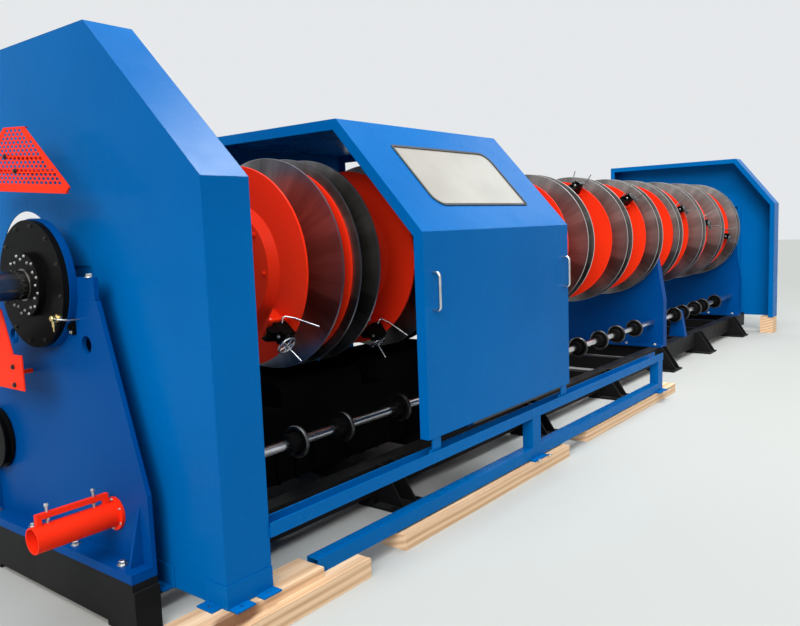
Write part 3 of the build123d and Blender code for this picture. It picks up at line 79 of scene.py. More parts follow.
# %% [markdown]
# ## Camera
# The camera stands at eye height in the aisle, at the near end of the machine. Its place and
# angles were worked out from the machine's own straight edges. A camera could be aimed by a
# constraint, but that hides its roll, so its turn is built from three angles, and each of
# them can be read and changed by itself.

# %% Camera
CAMERA_PLACE = Vector((-5.873, -3.2065, 1.500))
CAMERA_YAW = math.radians(51.622)
CAMERA_PITCH = math.radians(6.4667)
CAMERA_ROLL = math.radians(-2.14696)
CAMERA_LENS = 34.40
SENSOR_WIDTH = 36.0
CAMERA_REACH = 60.0

forward = Vector((
    math.sin(CAMERA_YAW) * math.cos(CAMERA_PITCH),
    math.cos(CAMERA_YAW) * math.cos(CAMERA_PITCH),
    -math.sin(CAMERA_PITCH),
))
level_right = Vector((math.cos(CAMERA_YAW), -math.sin(CAMERA_YAW), 0.0))
plain_up = level_right.cross(forward)
camera_right = math.cos(CAMERA_ROLL) * level_right + math.sin(CAMERA_ROLL) * plain_up
camera_up = math.cos(CAMERA_ROLL) * plain_up - math.sin(CAMERA_ROLL) * level_right

camera_data = bpy.data.cameras.new("camera")
camera_data.sensor_fit = "HORIZONTAL"
camera_data.sensor_width = SENSOR_WIDTH
camera_data.lens = CAMERA_LENS
camera_data.clip_end = CAMERA_REACH
camera = bpy.data.objects.new("camera", camera_data)
bpy.context.scene.collection.objects.link(camera)
turn = Matrix((camera_right, camera_up, -forward)).transposed()
camera.matrix_world = Matrix.Translation(CAMERA_PLACE) @ turn.to_4x4()
bpy.context.scene.camera = camera
print("camera at", tuple(round(value, 3) for value in camera.location))

# %% [markdown]
# ## Lights
# A hall lights a long machine evenly. Area lamps alone would fade along it, so wide suns do
# most of the work: one for the near end and the aisle side, one for the tops and a weak one
# for the rear. Two square panels hang above the rotors, because turned steel mirrors what
# hangs over it and would look dull without them.


# %% Lights
SUN_TARGET = (0.0, 0.0, 1.0)
WARM_WHITE = (1.0, 0.985, 0.96)
COOL_WHITE = (0.90, 0.98, 1.0)


def aimed(name, data, place, target):
    """Put a lamp at a place and point it at a target."""
    lamp = bpy.data.objects.new(name, data)
    bpy.context.scene.collection.objects.link(lamp)
    lamp.location = place
    lamp.rotation_euler = (Vector(target) - Vector(place)).to_track_quat("-Z", "Y").to_euler()
    return lamp


def soft_sun(name, place, strength, spread, colour):
    """Even light from one side, with soft shadows."""
    data = bpy.data.lights.new(name, "SUN")
    data.energy = strength
    data.angle = math.radians(spread)
    data.color = colour
    return aimed(name, data, place, SUN_TARGET)


def panel_light(name, place, target, side, watts):
    """Square lamp that shows in the turned steel."""
    data = bpy.data.lights.new(name, "AREA")
    data.shape = "RECTANGLE"
    data.size = data.size_y = side
    data.energy = watts
    data.color = COOL_WHITE
    return aimed(name, data, place, target)


soft_sun("end_sun", (-7.2, -3.6, 6.0), strength=2.6, spread=40.0, colour=WARM_WHITE)
soft_sun("top_sun", (0.0, -1.0, 10.0), strength=2.6, spread=60.0, colour=COOL_WHITE)
soft_sun("rear_sun", (4.0, 7.0, 5.0), strength=0.8, spread=50.0, colour=COOL_WHITE)
panel_light("near_panel", (0.8, -0.7, 8.3), (-4.1, -0.77, 1.9), side=1.6, watts=420.0)
panel_light("far_panel", (8.0, -0.8, 7.0), (-1.5, -0.77, 1.8), side=3.0, watts=60.0)
print("lights:", [lamp.name for lamp in bpy.data.lights])

# %% [markdown]
# ## Sums of nodes
# The finishes, the light of the room and the parts that repeat are all worked out by nodes.
# Nodes could be placed and linked one by one, but sums are hard to read as loose nodes. The
# first class lets a socket be added, multiplied or mixed like a number, so a sum reads as one
# formula. The second makes any node, its settings first, because some change its sockets.


# %% Sums of nodes
class Value:
    """A socket that takes part in sums; a plain number may stand after it."""

    def __init__(self, nodes, socket):
        self.nodes, self.socket = nodes, socket

    def maths(self, operation, first, second=0.0):
        return self.nodes.node("ShaderNodeMath", {0: first, 1: second}, operation=operation)

    def __add__(self, other):
        return self.maths("ADD", self, other)

    def __sub__(self, other):
        return self.maths("SUBTRACT", self, other)

    def __mul__(self, other):
        return self.maths("MULTIPLY", self, other)

    def __truediv__(self, other):
        return self.maths("DIVIDE", self, other)

    def __mod__(self, other):
        return self.maths("FLOORED_MODULO", self, other)

    def __abs__(self):
        return self.maths("ABSOLUTE", self)

    def __round__(self):
        return self.maths("ROUND", self)

    def angle_to(self, other):
        return self.maths("ARCTAN2", self, other)

    def length_with(self, other):
        return self.maths("SQRT", self * self + other * other)

    def sine(self):
        return self.maths("SINE", self)

    def step(self, low, high):
        """0 below low, 1 above high and smooth between."""
        return self.nodes.node("ShaderNodeMapRange", {
            "Value": self, "From Min": low, "From Max": high}, interpolation_type="SMOOTHSTEP")

    def colours(self, first, second):
        """Colour between two, by this value."""
        pair = [item if isinstance(item, Value) else (*item, 1.0) for item in (first, second)]
        return self.nodes.node("ShaderNodeMix", {0: self, 6: pair[0], 7: pair[1]}, 2,
                               data_type="RGBA")


class Nodes:
    """A tree of nodes, whose nodes are made with their settings and inputs."""

    def __init__(self, tree):
        self.tree = tree

    def node(self, kind, inputs=None, output=0, **settings):
        """One output of a new node; its inputs are values, links or lists of links."""
        made = self.tree.nodes.new(kind)
        for key, value in settings.items():
            setattr(made, key, value)
        for key, value in (inputs or {}).items():
            for item in value if isinstance(value, list) else [value]:
                if isinstance(item, Value):
                    self.tree.links.new(item.socket, made.inputs[key])
                else:
                    made.inputs[key].default_value = item
        return Value(self, made.outputs[output])


print("sockets can be added, multiplied and mixed")

# %% [markdown]
# ## A finish and its patterns
# Every finish starts from the same few things: a shader, the place on the piece, noise, and
# a relief of bumps. They could be set up again for each material. One class holds them, so a
# finish below says only what is its own.


# %% A finish and its patterns
BEVEL_SAMPLES = 4


class Paint(Nodes):
    """A new material with its shader, its object coordinates and its patterns."""

    def __init__(self, name, **settings):
        self.material = bpy.data.materials.new(name)
        self.material.use_nodes = True
        super().__init__(self.material.node_tree)
        self.shader = self.tree.nodes["Principled BSDF"]
        for key, value in settings.items():
            self.shader.inputs[key.replace("_", " ")].default_value = value
        self.place = self.node("ShaderNodeTexCoord", output="Object")

    def axis(self, name):
        """One coordinate of the place, in metres."""
        return self.node("ShaderNodeSeparateXYZ", {0: self.place}, output=name)

    def noise(self, scale, detail=3.0, stretch=(1.0, 1.0, 1.0), vector=None):
        """Noise over the piece; scale is in waves per metre."""
        mapped = self.node("ShaderNodeMapping", {"Vector": vector or self.place,
                                                 "Scale": stretch})
        return self.node("ShaderNodeTexNoise", {"Vector": mapped, "Scale": scale,
                                                "Detail": detail})

    def relief(self, height, distance, strength, rounding=0.0):
        """Bump, over edges that catch the light as rounded ones where a rounding is given."""
        inputs = {"Height": height, "Distance": distance, "Strength": strength}
        if rounding:
            inputs["Normal"] = self.node("ShaderNodeBevel", {"Radius": rounding},
                                         samples=BEVEL_SAMPLES)
        self.put("Normal", self.node("ShaderNodeBump", inputs))

    def put(self, name, value):
        """Feed one socket of the shader."""
        self.tree.links.new(value.socket, self.shader.inputs[name])


print("finishes can be built")

# %% [markdown]
# ## Room
# The room is one pale colour. It is bright where the camera or a mirror-like surface looks
# at it, and dimmer as a lamp. One strength for both would either grey the background or
# wash the shaded sides of the machine out. The Light Path node tells the two uses apart: a
# ray is 1 where it is of the kind that an output names, and the sum is held at 1.

# %% Room
ROOM_COLOUR = (0.86, 0.88, 0.90, 1.0)
ROOM_SEEN = 0.92
ROOM_LIGHT = 0.30

room = bpy.data.worlds.new("room")
bpy.context.scene.world = room
room.use_nodes = True
room_nodes = Nodes(room.node_tree)
camera_rays, mirror_rays, clear_rays = (
    room_nodes.node("ShaderNodeLightPath", output=kind)
    for kind in ("Is Camera Ray", "Is Glossy Ray", "Is Transmission Ray"))
strength = room_nodes.node("ShaderNodeMapRange", {
    "Value": camera_rays + mirror_rays + clear_rays, "To Min": ROOM_LIGHT, "To Max": ROOM_SEEN})
background = room.node_tree.nodes["Background"]
background.inputs["Color"].default_value = ROOM_COLOUR
room.node_tree.links.new(strength.socket, background.inputs["Strength"])

bpy.context.scene.view_settings.view_transform = "Standard"
print("room seen at", ROOM_SEEN, "and lighting at", ROOM_LIGHT)

# %% [markdown]
# ## Floor
# A level floor carries the machine and takes its shadows. It is one plain sheet, far larger
# than the view, without any gloss: a sun that stands behind the machine would draw a white
# glare on a floor that shines.

# %% Floor
FLOOR_COLOUR = (0.42, 0.415, 0.40, 1.0)
FLOOR_ROUGHNESS = 0.6
FLOOR_REACH = 40.0

floor_mesh = bpy.data.meshes.new("floor")
floor_mesh.from_pydata(
    [(-FLOOR_REACH, -FLOOR_REACH, 0), (FLOOR_REACH, -FLOOR_REACH, 0),
     (FLOOR_REACH, FLOOR_REACH, 0), (-FLOOR_REACH, FLOOR_REACH, 0)],
    [], [(0, 1, 2, 3)],
)
floor = bpy.data.objects.new("floor", floor_mesh)
bpy.context.scene.collection.objects.link(floor)
floor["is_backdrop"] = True
floor_paint = Paint("floor", Base_Color=FLOOR_COLOUR, Roughness=FLOOR_ROUGHNESS,
                    Specular_IOR_Level=0.0)
floor_mesh.materials.append(floor_paint.material)
print("floor reaches", FLOOR_REACH, "m each way")

# %% [markdown]
# ## Paint
# Machine enamel is sprayed over sheet and castings. One flat colour would do from afar, but
# seen close the tone drifts a little, the gloss changes from place to place, the sheet below
# is slightly wavy and its folded edges catch the light. The edges could be bevelled in the
# mesh. A Bevel node under the bump does it for every piece at once, without new faces.


# %% Paint
EDGE_ROUNDING = 0.003
SHEET_WAVES = 0.006
GLOSS_SPREAD = 0.18
DUST_TINT = (0.23, 0.22, 0.20)


def enamel(name, main, second, roughness, gloss, dust=0.0):
    """Sprayed enamel over sheet or castings, from two near tones."""
    paint = Paint(name, Specular_IOR_Level=gloss, Coat_Weight=0.0)
    drift = paint.noise(scale=1.1, detail=2.0).step(0.35, 0.65)
    fine = paint.noise(scale=7.0, detail=5.0)
    colour = drift.colours(main, second)
    if dust:
        normal = paint.node("ShaderNodeNewGeometry", output="Normal")
        upward = paint.node("ShaderNodeSeparateXYZ", {0: normal}, output="Z")
        film = upward.step(0.3, 0.9) * fine.step(0.35, 0.7) * dust
        colour = film.colours(colour, DUST_TINT)
    paint.put("Base Color", colour)
    paint.put("Roughness", fine * GLOSS_SPREAD + (roughness - GLOSS_SPREAD / 2))
    waves = paint.noise(scale=2.6, detail=2.0)
    paint.relief(waves, SHEET_WAVES, strength=0.35, rounding=EDGE_ROUNDING)
    return paint.material


print("enamel ready")

# %% [markdown]
# The sheets are blue, the castings a deeper blue that also paints in the shade on the pedestal and
# the stands, what turns or guards is red, and what lies below is black. A table of the paints can
# be read and changed better than a call for each.
# The gearbox is matt, because its place under the rotors shows no shine. The black frame
# holds a thin film of dust on its upper faces.

# %% The paints of the machine
PAINTS = {
    "blue_sheet": {"main": (0.0, 0.124, 0.400), "second": (0.0, 0.110, 0.365),
                   "roughness": 0.27, "gloss": 0.035},
    # Deeper blue: partly the castings' own tone, partly painted shade on the pedestal and the
    # stands.
    "blue_castings": {"main": (0.0, 0.066, 0.270), "second": (0.0, 0.054, 0.240),
                      "roughness": 0.34, "gloss": 0.03},
    "red_paint": {"main": (0.98, 0.036, 0.008), "second": (0.92, 0.027, 0.007),
                  "roughness": 0.34, "gloss": 0.04},
    "black_frame": {"main": (0.005, 0.005, 0.006), "second": (0.009, 0.009, 0.009),
                    "roughness": 0.45, "gloss": 0.08, "dust": 0.06},
    "black_machinery": {"main": (0.003, 0.003, 0.003), "second": (0.006, 0.006, 0.006),
                        "roughness": 0.30, "gloss": 0.03},
}
materials = {name: enamel(name, **values) for name, values in PAINTS.items()}
matt_black = enamel("matt_black", (0.003, 0.003, 0.003), (0.005, 0.005, 0.005),
                    roughness=0.85, gloss=0.0)
print("paints:", list(materials))

# %% [markdown]
# ## Turned steel
# The pans are turned on a lathe, so their fine grooves run round the axis and the light on them
# fans out from the hub. Anisotropic shading could draw that fan, but it needs a tangent, which
# can't be baked. So the fan of light is put into the colour as a painted highlight: the pattern
# reads the radius and the angle about the rotor axis.


# %% Turned steel
PAN_RIM = 0.5625
RIM_EDGE = 0.001
GROOVE_DRIFT = 0.004
FAN_COUNT = 2.4
FAN_DRIFT = 0.5
PAN_DARK = (0.070, 0.062, 0.056)
PAN_LIGHT = (0.42, 0.40, 0.38)
RIM_LIGHT = (0.58, 0.57, 0.56)


def turned_steel():
    """Stainless pan with grooves round the axis, a painted fan of highlights, smears and a bright
    thin rim.
    """
    paint = Paint("stainless", Metallic=1.0)
    across = paint.axis("Y") - AXIS_Y
    height = paint.axis("Z") - AXIS_Z
    radius = across.length_with(height)
    angle = across.angle_to(height)
    polar = paint.node("ShaderNodeCombineXYZ", {0: radius, 1: angle * GROOVE_DRIFT})
    grooves = paint.noise(scale=300.0, detail=4.0, vector=polar)
    fan = paint.node("ShaderNodeCombineXYZ", {
        0: angle.sine() * FAN_COUNT, 1: (angle + math.pi / 2).sine() * FAN_COUNT,
        2: radius * FAN_DRIFT})
    highlight_fan = paint.noise(scale=1.5, detail=3.0, vector=fan)
    smear = paint.noise(scale=5.0, detail=4.0)
    # The fan is a painted highlight that stands in for the reflections in turned steel; the smears
    # are the steel's own.
    tone = highlight_fan.step(0.32, 0.70) * 0.65 + smear * 0.35
    rim = radius.step(PAN_RIM, PAN_RIM + RIM_EDGE)
    body = tone.colours(PAN_DARK, PAN_LIGHT)
    paint.put("Base Color", rim.colours(body, RIM_LIGHT))
    paint.put("Roughness", grooves * 0.16 + 0.26)
    paint.relief(grooves, distance=0.0006, strength=0.45)
    return paint.material


materials["stainless"] = turned_steel()
print("turned steel ready, with its rim from", PAN_RIM, "m")

# %% [markdown]
# ## Ground and plated metals
# Shafts are ground along their length, while screws and castings show marks with no
# direction. All of them are one recipe with other colours: light metal, darker smears and
# fine marks. On a shaft the marks are stretched along X by scaling the noise unevenly.


# %% Ground and plated metals
ALONG_SHAFT = (3.0, 160.0, 160.0)
ALL_WAYS = (60.0, 60.0, 60.0)


def ground_metal(name, light, dark, roughness, marks_run=ALL_WAYS):
    """Metal with fine marks and grey smears."""
    paint = Paint(name, Metallic=1.0)
    marks = paint.noise(scale=1.0, detail=3.0, stretch=marks_run)
    smears = paint.noise(scale=14.0, detail=4.0).step(0.3, 0.8)
    paint.put("Base Color", smears.colours(light, dark))
    paint.put("Roughness", marks * 0.12 + (roughness - 0.05))
    paint.relief(marks, distance=0.0002, strength=0.2, rounding=EDGE_ROUNDING / 2)
    return paint.material


materials["bright_steel"] = ground_metal(
    "bright_steel", (0.68, 0.68, 0.69), (0.45, 0.45, 0.46), 0.24, ALONG_SHAFT)
zinc = ground_metal("zinc_steel", (0.60, 0.60, 0.58), (0.40, 0.40, 0.38), 0.32)
black_oxide = ground_metal("black_oxide", (0.060, 0.058, 0.055), (0.030, 0.030, 0.030), 0.36)
oiled_steel = ground_metal(
    "oiled_steel", (0.20, 0.19, 0.18), (0.10, 0.10, 0.10), 0.22, ALONG_SHAFT)
# Dark steel: wear on the pulley rims, and on the far hand wheels also painted shade.
dull_steel = ground_metal("dull_steel", (0.13, 0.13, 0.13), (0.05, 0.05, 0.05), 0.34)
brass = ground_metal("brass", (0.80, 0.62, 0.28), (0.62, 0.45, 0.18), 0.26)
print("metals:", [metal.name for metal in (zinc, black_oxide, oiled_steel, dull_steel, brass)])

# %% [markdown]
# ## Timber
# The packers are rough sawn softwood. A board is a slice of a tree, so its rings are planes
# that wobble through the whole board, and they meet its faces and its ends in the same
# place. A picture of wood would miss that, and a pattern in space gives it by itself.


# %% Timber
RINGS_UP = 190.0
RINGS_ACROSS = 62.0
RING_WOBBLE = 9.0
WOOD_LIGHT = (0.80, 0.56, 0.36)
WOOD_DARK = (0.52, 0.30, 0.16)
KNOT_BROWN = (0.26, 0.13, 0.07)


def sawn_timber():
    """Pale softwood: growth rings across the boards and long grain lines."""
    paint = Paint("timber", Roughness=0.72, Specular_IOR_Level=0.3)
    wobble = paint.noise(scale=2.2, detail=3.0, stretch=(0.12, 1.0, 1.0)) * RING_WOBBLE
    rings = (paint.axis("Z") * RINGS_UP + paint.axis("Y") * RINGS_ACROSS + wobble).sine()
    grain = paint.noise(scale=1.0, detail=4.0, stretch=(2.4, 150.0, 150.0))
    tone = rings * 0.22 + grain * 0.8
    colour = tone.step(0.1, 0.85).colours(WOOD_LIGHT, WOOD_DARK)
    knots = paint.noise(scale=3.4, detail=1.0, stretch=(0.6, 1.6, 1.6)).step(0.72, 0.80)
    paint.put("Base Color", knots.colours(colour, KNOT_BROWN))
    paint.relief(grain, distance=0.0008, strength=0.4)
    return paint.material


materials["timber"] = sawn_timber()
print("timber ready")

# %% [markdown]
# ## Window pane and its gasket
# The pane of the hood is plastic under a thin milky film, so nothing shows through it. Glass
# with a rough surface would cost much time and look the same, so a pale matt face with a
# faint cloud does it. The gasket round it is black rubber.


# %% Window pane and its gasket
def filmed_pane():
    """Plastic under a thin milky film."""
    paint = Paint("window_pane", Roughness=0.25, Specular_IOR_Level=0.3)
    cloud = paint.noise(scale=2.0, detail=3.0).step(0.3, 0.7)
    paint.put("Base Color", cloud.colours((0.29, 0.265, 0.235), (0.36, 0.33, 0.295)))
    return paint.material


def soft_rubber():
    """Black rubber with a faint bloom."""
    paint = Paint("black_rubber", Roughness=0.62)
    bloom = paint.noise(scale=40.0, detail=4.0).step(0.4, 0.7)
    paint.put("Base Color", bloom.colours((0.010, 0.010, 0.010), (0.03, 0.03, 0.03)))
    return paint.material


materials["window_pane"] = filmed_pane()
materials["black_rubber"] = soft_rubber()
print("materials by slot:", sorted(materials))

# %% [markdown]
# ## Finishes of the solid pieces
# The solid pieces come with a slot each in the record, and the slot names the finish. Only
# three of the black ones differ from their slot: both rotor shafts are oily dark steel, and
# the gearbox is matt.

# %% Finishes of the solid pieces
slot_of = {part["node"]: part["material_slot"] for part in frame["record"]["subparts"]}
own_finish = {"rotor_1_shaft": oiled_steel, "rotor_2_shaft": oiled_steel,
              "drive_gearbox": matt_black}
for node_name, node_object in frame["nodes"].items():
    for slot in node_object.material_slots:
        slot.material = own_finish.get(node_name, materials[slot_of[node_name]])
print("slots:", sorted(set(slot_of.values())))

# %% [markdown]
# ## How a piece is finished and placed
# Every added piece ends the same way: it gets its finish, from its slot unless another is given,
# and it rides on a body. That could be written out for each piece, but then one line is soon
# forgotten. A second helper places a part as an assembly drawing does: by where it sits and which
# way it faces.


# %% How a piece is finished and placed
SHARP_ANGLE = math.radians(35.0)
UP = (0.0, 0.0, 1.0)
NEAR = (-1.0, 0.0, 0.0)
FAR = (1.0, 0.0, 0.0)


def finished(name, mesh, body, slot, material=None, replaces=()):
    """A piece from a mesh, with its finish, taken from its slot unless one is given, on its body.
    """
    mesh.materials.clear()
    mesh.materials.append(material or materials[slot])
    mesh.shade_smooth()
    mesh.set_sharp_from_angle(angle=SHARP_ANGLE)
    piece = bpy.data.objects.new(name, mesh)
    bpy.context.scene.collection.objects.link(piece)
    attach(piece, body)
    if replaces:
        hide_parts(*replaces)
    print(name, len(mesh.polygons), "faces on", body)
    return piece


def placed_at(origin, facing, along=FAR):
    """Placing matrix whose z looks along facing and whose x lies near along."""
    upward = Vector(facing).normalized()
    side = Vector(along) - Vector(along).dot(upward) * upward
    side.normalize()
    axes = Matrix((side, upward.cross(side), upward)).transposed()
    return Matrix.Translation(origin) @ axes.to_4x4()


print("pieces can be finished and placed")

# %% [markdown]
# ## Shapes of small parts
# Small parts are turned on a lathe, cut from flat bar or bent from rod. Blender has ready
# cones and curves for each, but the same three ways are enough here: a profile of radii and
# heights turned about an axis, an outline raised to a height, and a circle led along points.
# All three lay a skin between rings of points, so their seams and poles are closed.


# %% Shapes of small parts
class Shape:
    """Closed parts, in millimetres of their own place, gathered into one mesh."""

    def __init__(self):
        self.parts = bmesh.new()

    def skin(self, rings, closed):
        """Faces between rings of points; a ring of one point is a tip."""
        made = [[self.parts.verts.new(place) for place in ring] for ring in rings]
        pairs = list(zip(made, made[1:]))
        if closed:
            pairs.append((made[-1], made[0]))
        for first, second in pairs:
            count = max(len(first), len(second))
            for step in range(count):
                after = (step + 1) % count
                corners = [first[step % len(first)], first[after % len(first)],
                           second[after % len(second)], second[step % len(second)]]
                self.parts.faces.new(dict.fromkeys(corners))

    def lathe(self, profile, place=Matrix(), sides=24):
        """Part turned about the z of its place, from radius and height pairs."""
        rings = []
        for radius, height in profile:
            turns = range(sides if radius else 1)
            angles = [2 * math.pi * step / sides for step in turns]
            rings.append([
                place @ (MM * Vector((radius * math.cos(angle), radius * math.sin(angle), height)))
                for angle in angles
            ])
        self.skin(rings, closed=bool(profile[0][0]))

    def prism(self, outline, low, high, place=Matrix()):
        """Part with a flat outline, from one height to another."""
        rings = [[place @ (MM * Vector((x, y, height))) for x, y in outline]
                 for height in (low, high)]
        self.skin(rings, closed=False)
        for ring in (self.parts.verts[-2 * len(outline):-len(outline)],
                     self.parts.verts[-len(outline):]):
            self.parts.faces.new(ring)

    def rod(self, points, radius, place=Matrix(), sides=10):
        """Round rod along points, with flat ends."""
        track = [Vector(item) for item in points]
        rings = [[place @ (MM * track[0])]]
        side = (track[1] - track[0]).orthogonal().normalized()
        for number, centre in enumerate(track):
            before = track[max(number - 1, 0)]
            after = track[min(number + 1, len(track) - 1)]
            way = (after - before).normalized()
            side = (side - side.dot(way) * way).normalized()
            cross = way.cross(side)
            angles = [2 * math.pi * step / sides for step in range(sides)]
            spokes = [math.cos(angle) * side + math.sin(angle) * cross for angle in angles]
            rings.append([place @ (MM * (centre + radius * spoke)) for spoke in spokes])
        rings.append([place @ (MM * track[-1])])
        self.skin(rings, closed=False)

    def mesh(self, name):
        """The finished mesh, with all faces outwards."""
        self.parts.verts.ensure_lookup_table()
        bmesh.ops.recalc_face_normals(self.parts, faces=self.parts.faces[:])
        mesh = bpy.data.meshes.new(name)
        self.parts.to_mesh(mesh)
        self.parts.free()
        return mesh


print("shapes: lathe, prism and rod")

# %% [markdown]
# ## Geometry Nodes trees
# What repeats on a machine could be copied by a loop, but then its sizes hide in the loop.
# Here it is grown from points: each point holds a place and the way it faces, and one tree
# puts the same small part on all of them. A tree is built once, with named inputs, and used
# with other sizes, as a drawing of a bolt serves every bolt of its kind.


# %% Geometry Nodes trees
class Graph(Nodes):
    """A Geometry Nodes tree with named inputs."""

    def __init__(self, name, sockets):
        super().__init__(bpy.data.node_groups.new(name, "GeometryNodeTree"))
        sides = self.tree.interface
        sides.new_socket("Geometry", in_out="OUTPUT", socket_type="NodeSocketGeometry")
        for title, kind in {"Geometry": "Geometry", **sockets, "Finish": "Material"}.items():
            sides.new_socket(title, in_out="INPUT", socket_type="NodeSocket" + kind)
        start = self.tree.nodes.new("NodeGroupInput")
        self.start = {socket.name: Value(self, socket) for socket in start.outputs}

    def attribute(self, name):
        """Vector that each seed point holds under a name."""
        return self.node("GeometryNodeInputNamedAttribute", {"Name": name},
                         data_type="FLOAT_VECTOR")

    def end(self, geometry):
        """Real faces in place of instances, with their finish, as the result."""
        solid = self.node("GeometryNodeRealizeInstances", {"Geometry": geometry})
        coated = self.node("GeometryNodeSetMaterial", {"Geometry": solid,
                                                       "Material": self.start["Finish"]})
        result = self.tree.nodes.new("NodeGroupOutput")
        self.tree.links.new(coated.socket, result.inputs[0])


print("trees can be built")

# %% [markdown]
# ## From a tree to a plain mesh
# A tree works as a modifier on a seed mesh. The finished model can't keep modifiers, so the
# seed is evaluated once, its result becomes a plain mesh, and the seed is removed. An input
# is set by its socket's identifier, because names may repeat and identifiers don't.


# %% From a tree to a plain mesh
def grown(graph, seed_mesh, values):
    """Plain mesh of a tree run on a seed mesh with the values of its inputs."""
    holder = bpy.data.objects.new("seed", seed_mesh)
    bpy.context.scene.collection.objects.link(holder)
    modifier = holder.modifiers.new("growth", "NODES")
    modifier.node_group = graph.tree
    for socket in graph.tree.interface.items_tree:
        if socket.in_out == "INPUT" and socket.name in values:
            modifier[socket.identifier] = values[socket.name]
    evaluated = holder.evaluated_get(bpy.context.evaluated_depsgraph_get())
    mesh = bpy.data.meshes.new_from_object(evaluated)
    holder.modifiers.clear()
    bpy.data.objects.remove(holder)
    return mesh


def seeds(name, places):
    """Seed points, from tuples of a place, the way it faces and, if given, its along."""
    mesh = bpy.data.meshes.new(name)
    mesh.from_pydata([place[0] for place in places], [], [])
    for number, title in enumerate(("facing", "along"), start=1):
        if len(places[0]) > number:
            layer = mesh.attributes.new(title, "FLOAT_VECTOR", "POINT")
            for item, place in zip(layer.data, places):
                item.vector = place[number]
    return mesh


print("trees can be grown on seeds")

# %% [markdown]
# ## Bolts
# A machine of this size shows its bolts everywhere: a washer, a hexagon head and a thin
# chamfer at its top. A threaded bolt with a round chamfer would have hundreds of faces, and
# the view shows none of it, so three low cones make a bolt. Each head is turned by chance
# about its own axis, because a bolt stops where it is tight and not where its corners line
# up. The seed is fixed, so every run gives the same turns.


# %% Bolts
WASHER_REACH = 1.45
WASHER_TOP = 1.40
WASHER_THICKNESS = 0.22
HEAD_SHARE = 0.82
CROWN_REACH = 0.8
BOLT_PROPORTION = 1.15
BOLT_SEED = 7


def bolt_tree():
    """Tree that puts a washer and a hexagon head on every point."""
    graph = Graph("bolts", {"Radius": "Float", "Height": "Float", "Seed": "Int"})
    radius, height = graph.start["Radius"], graph.start["Height"]
    rise = height * HEAD_SHARE
    washer = graph.node("GeometryNodeMeshCone", {
        "Vertices": 16, "Radius Bottom": radius * WASHER_REACH,
        "Radius Top": radius * WASHER_TOP, "Depth": height * WASHER_THICKNESS})
    head = graph.node("GeometryNodeMeshCone", {
        "Vertices": 6, "Radius Bottom": radius, "Radius Top": radius, "Depth": rise})
    crown = graph.node("GeometryNodeMeshCone", {
        "Vertices": 6, "Radius Bottom": radius, "Radius Top": radius * CROWN_REACH,
        "Depth": height - rise})
    lift = graph.node("ShaderNodeCombineXYZ", {"Z": rise})
    crown = graph.node("GeometryNodeTransform", {"Geometry": crown, "Translation": lift})
    bolt = graph.node("GeometryNodeJoinGeometry", {"Geometry": [washer, head, crown]})
    upright = graph.node("FunctionNodeAlignRotationToVector",
                         {"Vector": graph.attribute("facing")}, axis="Z")
    chance = graph.node("FunctionNodeRandomValue", {
        2: 0.0, 3: math.pi / 3, "Seed": graph.start["Seed"]}, output=1, data_type="FLOAT")
    spin = graph.node("FunctionNodeAxisAngleToRotation", {
        "Axis": (0.0, 0.0, 1.0), "Angle": chance})
    facing = graph.node("FunctionNodeRotateRotation", {
        "Rotation": upright, "Rotate By": spin}, rotation_space="LOCAL")
    graph.end(graph.node("GeometryNodeInstanceOnPoints", {
        "Points": graph.start["Geometry"], "Instance": bolt, "Rotation": facing}))
    return graph


bolts = bolt_tree()


def bolted(name, places, body, slot, material=None, *, radius):
    """One piece of bolts of one size, on places that face outwards."""
    mesh = grown(bolts, seeds(name, places), {
        "Radius": radius * MM, "Height": radius * BOLT_PROPORTION * MM, "Seed": BOLT_SEED,
        "Finish": material or materials[slot]})
    return finished(name, mesh, body, slot, material)


def ring_of(station, radius, count, first_turn=0.0):
    """Places of a bolt circle about the rotor axis, facing the near end."""
    turns = [math.radians(first_turn) + 2 * math.pi * step / count for step in range(count)]
    axis_height = AXIS_Z / MM
    return [(point(station, radius * math.cos(angle), axis_height + radius * math.sin(angle)),
             NEAR) for angle in turns]


print("bolt tree ready")

# %% [markdown]
# ## First bearing
# The black cover of the first bearing has two rings of small screws round the shaft and one
# ring near its edge. Bolts hold the ears of the housing and the foot of the pedestal. A bolt
# circle needs no drawing: a radius, a count and a first turn give every place.

# %% First bearing
BOSS_FACE = 250.0
COVER_FACE = 280.0
COVER_SCREWS = 12
INNER_CIRCLE = 104.0
OUTER_CIRCLE = 121.0
OUTER_TURN = 15.0
EDGE_CIRCLE = 240.0
EDGE_TURN = 10.0
EAR_TOP = 1348.0
EAR_STATION = 345.0
EAR_BOLT_ACROSS = 345.0
FOOT_TOP = 248.0
FOOT_STATION = 285.0
FOOT_BOLTS_ACROSS = (178.0, 520.0)

screws = (ring_of(BOSS_FACE, INNER_CIRCLE, COVER_SCREWS)
          + ring_of(BOSS_FACE, OUTER_CIRCLE, COVER_SCREWS, OUTER_TURN))
bolted("bearing_cover_screws", screws, "frame", "black_machinery", zinc, radius=4.5)
edge_bolts = ring_of(COVER_FACE, EDGE_CIRCLE, COVER_SCREWS, EDGE_TURN)
bolted("bearing_edge_bolts", edge_bolts, "frame", "black_machinery", black_oxide, radius=6.0)
pedestal_bolts = [(point(FOOT_STATION, side * reach, FOOT_TOP), UP)
                  for side in (-1, 1) for reach in FOOT_BOLTS_ACROSS]
ear_bolts = [(point(EAR_STATION, side * EAR_BOLT_ACROSS, EAR_TOP), UP) for side in (-1, 1)]
bolted("pedestal_bolts", pedestal_bolts, "frame", "blue_castings", zinc, radius=15.0)
bolted("bearing_ear_bolts", ear_bolts, "frame", "blue_castings", zinc, radius=13.0)
